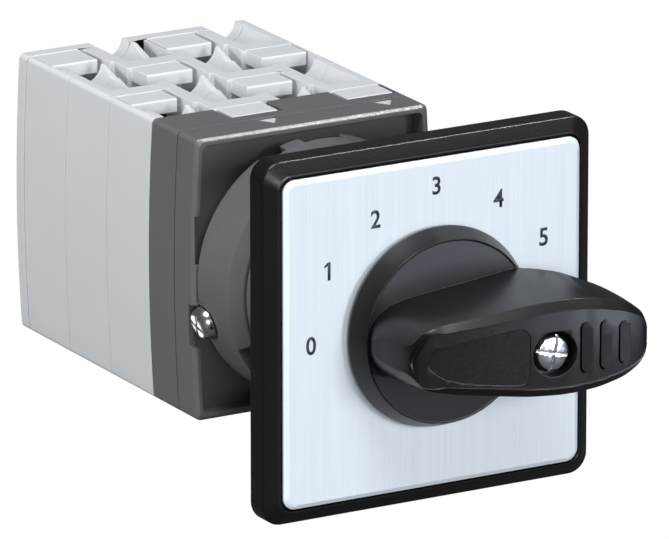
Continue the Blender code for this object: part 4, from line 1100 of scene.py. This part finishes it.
def faceY(x, depth=0.0):
    return -plateFace - faceHeight(x) + handle["step"][1] - handle["crown"] + depth


def discShape():
    h = handle
    profile = filleted(
        (h["discRadius"] - h["draft"], -plateFace - h["lift"]),
        (h["discRadius"], -plateFace - h["discEdge"]),
        (h["discFace"], -plateFace - h["discHeight"]),
        h["discRound"],
    )
    for inset, depth in ((1, 0), (2, 1), (12, 1)):
        y = depth * h["discStep"] - plateFace - h["discHeight"]
        profile.append((h["discFace"] - inset * h["discStep"], y))
    return skin([circle(radius, y, 160) for radius, y in profile])


def creaseShape():  # an open slot that follows the grip's foot over the disc
    h = handle
    (width, floor), (follows, end) = h["crease"], h["creaseEnd"]
    outside, bottom = -plateFace - h["discHeight"] - past, -plateFace - floor
    sections = [(h["stations"][0][0] - width, h["stations"][0][1])]
    sections += [(s[0], s[1] + width) for s in h["stations"] if s[0] < follows]
    sections += [(end, sections[-1][1])]
    corners = ((outside, -1), (outside, 1), (bottom, 1), (bottom, -1))
    return skin([[(x, y, side * z) for y, side in corners] for x, z in sections])


def leafShape():
    tip, end = handle["leaf"][0][0], handle["leaf"][-1][0]
    first, last = handle["leafDepth"]
    rings = []
    for x, low, high in handle["leaf"]:
        floor = faceY(x, first + (last - first) * (x - tip) / (end - tip))
        top = floor - 4 * past
        rings.append([(x, top, low), (x, top, high), (x, floor, high), (x, floor, low)])
    return skin(rings)


def grooveShape(x, half):
    # A pocket with round ends: a slit along its left wall, then a floor that rises to nothing
    h = handle
    straight, bent, sweep = 2, 6, radians(80)  # steps along a wall and round an end, and its angle
    inside = half - h["grooveRound"]
    rings = []
    for step in range(-straight - bent, straight + bent + 1):
        if abs(step) <= straight:
            z, pull = inside * step / straight, 0
        else:
            turn = (abs(step) - straight) / bent * sweep
            z = (inside + h["grooveRound"] * sin(turn)) * (1 if step > 0 else -1)
            pull = h["grooveRound"] * (1 - cos(turn))
        z += h["grooveMiddle"]
        left, right = x + pull, x + h["grooveWidth"] - pull
        slit = left + min(h["slitWidth"], (right - left) / 2)
        top = faceY(left) - 2 * past
        ring = [(left, top, z), (right, top, z), (right, faceY(right, h["floor"][1]), z)]
        deep = faceY(left, h["grooveDepth"])
        ring += [(slit, faceY(slit, h["floor"][0]), z), (slit, deep, z), (left, deep, z)]
        rings.append(ring)
    return skin(rings)


def dipShape():  # the scallop between the nose and the tip of the face
    d = handle["dip"]
    steps, sides = 16, 12
    least, taper, above = 0.1, 0.7, 0.35  # thickness at its ends, its swelling, and how high it lies
    rings = []
    for step in range(steps + 1):
        share = step / steps
        angle = radians(d["from"] + (d["to"] - d["from"]) * share)
        swell = sin(pi * share)
        thick = d["thick"] * max(swell, least) ** taper
        x, z = d["x"] + d["radius"] * cos(angle), d["z"] + d["radius"] * sin(angle)
        y = -plateFace - faceHeight(x) - thick * above - d["rise"] * (1 - swell) ** 2
        ring = []
        for side in range(sides):
            turn = 2 * pi * side / sides
            out = thick * cos(turn)
            ring.append((x + out * cos(angle), y + thick * sin(turn), z + out * sin(angle)))
        rings.append(ring)
    return skin(rings)


def makeHandle():
    h = handle
    back = -plateFace - h["lift"]
    piece = newPiece("leverHandle", discShape())
    carve(piece, creaseShape())
    weld(piece, skin([gripRing(station) for station in smoothStations(h["stations"])]))
    x, z = h["screw"]
    seat = -(plateFace + faceHeight(x) - h["headSink"] - h["head"]["thickness"])
    (hollow, hollowTop), (column, columnTop) = h["hollow"], h["column"]
    carve(
        piece,
        leafShape(),
        rod(-plateFace - hollowTop, back + past, hollow, 96),
        rod(-plateFace - columnTop, back, column, 48, x, z),
        rod(-h["clear"], back, h["shankHole"], 48, x, z),
        rod(-h["clear"], seat, h["well"], 64, x, z),
    )
    crisp = [dipShape()] + [grooveShape(start, half) for start, half in h["grooves"]]
    softenEdges(piece, 0.08, above=28, crisp=crisp)
    place(piece, handlePolyamide, "handle_plastic", "handle", body="rotor")
    return seat


def makeHandleScrew(seat):
    h = handle
    x, z = h["screw"]
    back = seat - gap
    piece = crossHead("handleScrew", (x, back, z), (0, -1, 0), h["head"])
    radius, end = h["shank"]
    weld(piece, rod(back - gap, -plateFace - end, radius, 48, x, z))
    softenEdges(piece, 0.08)
    place(piece, zincSteel, "zinc_steel", "handle_screw", body="rotor")


makeHandleScrew(makeHandle())
print("cam switch: handle ready")

for lampName, facts in lamps.items():
    if "only" in facts:
        lit = bpy.data.collections.new(f"lit by the {lampName}")
        for name in facts["only"]:
            lit.objects.link(bpy.data.objects[name])
        bpy.data.objects[lampName].light_linking.receiver_collection = lit


# Springs: one coil on every place, by one tree

springs = {
    "wire": 0.6,
    "radius": 1.9,  # to the middle of the wire
    "turns": 3.5,
    "steps": 8,
    "contact": {"length": 3.3, "x": 19.85, "depths": (62.2, 77.5, 92.8)},
    "detent": {"length": 5.73, "x": 18.64, "depths": (44.0,)},
}


def coilTree():
    tree = bpy.data.node_groups.new("coil springs", "GeometryNodeTree")
    tree.interface.new_socket("Places", in_out="INPUT", socket_type="NodeSocketGeometry")
    tree.interface.new_socket("Length", in_out="INPUT", socket_type="NodeSocketFloat")
    tree.interface.new_socket("Springs", in_out="OUTPUT", socket_type="NodeSocketGeometry")
    given = addNode(tree, "NodeGroupInput", {}).outputs
    spiral = {
        "Resolution": springs["steps"],
        "Rotations": springs["turns"],
        "Start Radius": springs["radius"] * mm,
        "End Radius": springs["radius"] * mm,
        "Height": given["Length"],
    }
    coil = addNode(tree, "GeometryNodeCurveSpiral", spiral)
    section = {"Resolution": 5, "Radius": springs["wire"] * mm / 2}
    ring = addNode(tree, "GeometryNodeCurvePrimitiveCircle", section)
    sweep = {"Curve": coil, "Profile Curve": ring, "Fill Caps": True}
    tube = addNode(tree, "GeometryNodeCurveToMesh", sweep)
    back = addNode(tree, "ShaderNodeMath", {0: given["Length"], 1: -0.5}, operation="MULTIPLY")
    shift = addNode(tree, "ShaderNodeCombineXYZ", {"X": back})
    turned = {"Geometry": tube, "Translation": shift, "Rotation": (0, pi / 2, 0)}
    lying = addNode(tree, "GeometryNodeTransform", turned)
    spots = {"Points": given["Places"], "Instance": lying}
    spread = addNode(tree, "GeometryNodeInstanceOnPoints", spots)
    real = addNode(tree, "GeometryNodeRealizeInstances", {"Geometry": spread})
    coated = addNode(tree, "GeometryNodeSetMaterial", {"Geometry": real, "Material": springSteel})
    addNode(tree, "NodeGroupOutput", {"Springs": coated})
    return tree


def makeSprings(tree, kind, *nodes):
    facts = springs[kind]
    places = bmesh.new()
    for y in facts["depths"]:
        for side in (-1, 1):
            places.verts.new((side * facts["x"], y, 0))
    piece = newPiece(f"{kind}Springs", places)
    coils = piece.modifiers.new("coils", "NODES")
    coils.node_group = tree
    coils[tree.interface.items_tree["Length"].identifier] = facts["length"] * mm
    flatten(piece)
    piece.data.shade_smooth()
    place(piece, springSteel, "spring_steel", *nodes)


coilNodes = coilTree()
contactNodes = [f"spring_{i}_{word}" for i in (1, 2, 3) for word in ("left", "right")]
makeSprings(coilNodes, "contact", *contactNodes)
makeSprings(coilNodes, "detent", "detent_spring_left", "detent_spring_right")
print("cam switch: springs ready")


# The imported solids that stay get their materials, by how their names start

finishes = {
    blackPolyamide: ("neck_sleeve", "ring_nut"),
    handlePolyamide: ("handle_carrier",),
    nitrileRubber: ("panel_gasket",),
    zincSteel: ("shaft",),
    springSteel: ("stop_plate",),
    naturalAcetal: ("stop_ring", "star_wheel", "detent_left", "detent_right", "cam_", "plunger_"),
    silveredCopper: ("bridge_", "terminal_"),
}
for look, starts in finishes.items():
    for name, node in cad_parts.items():
        if name.startswith(starts):
            for materialSlot in node.material_slots:
                materialSlot.material = look

print("cam switch: done")
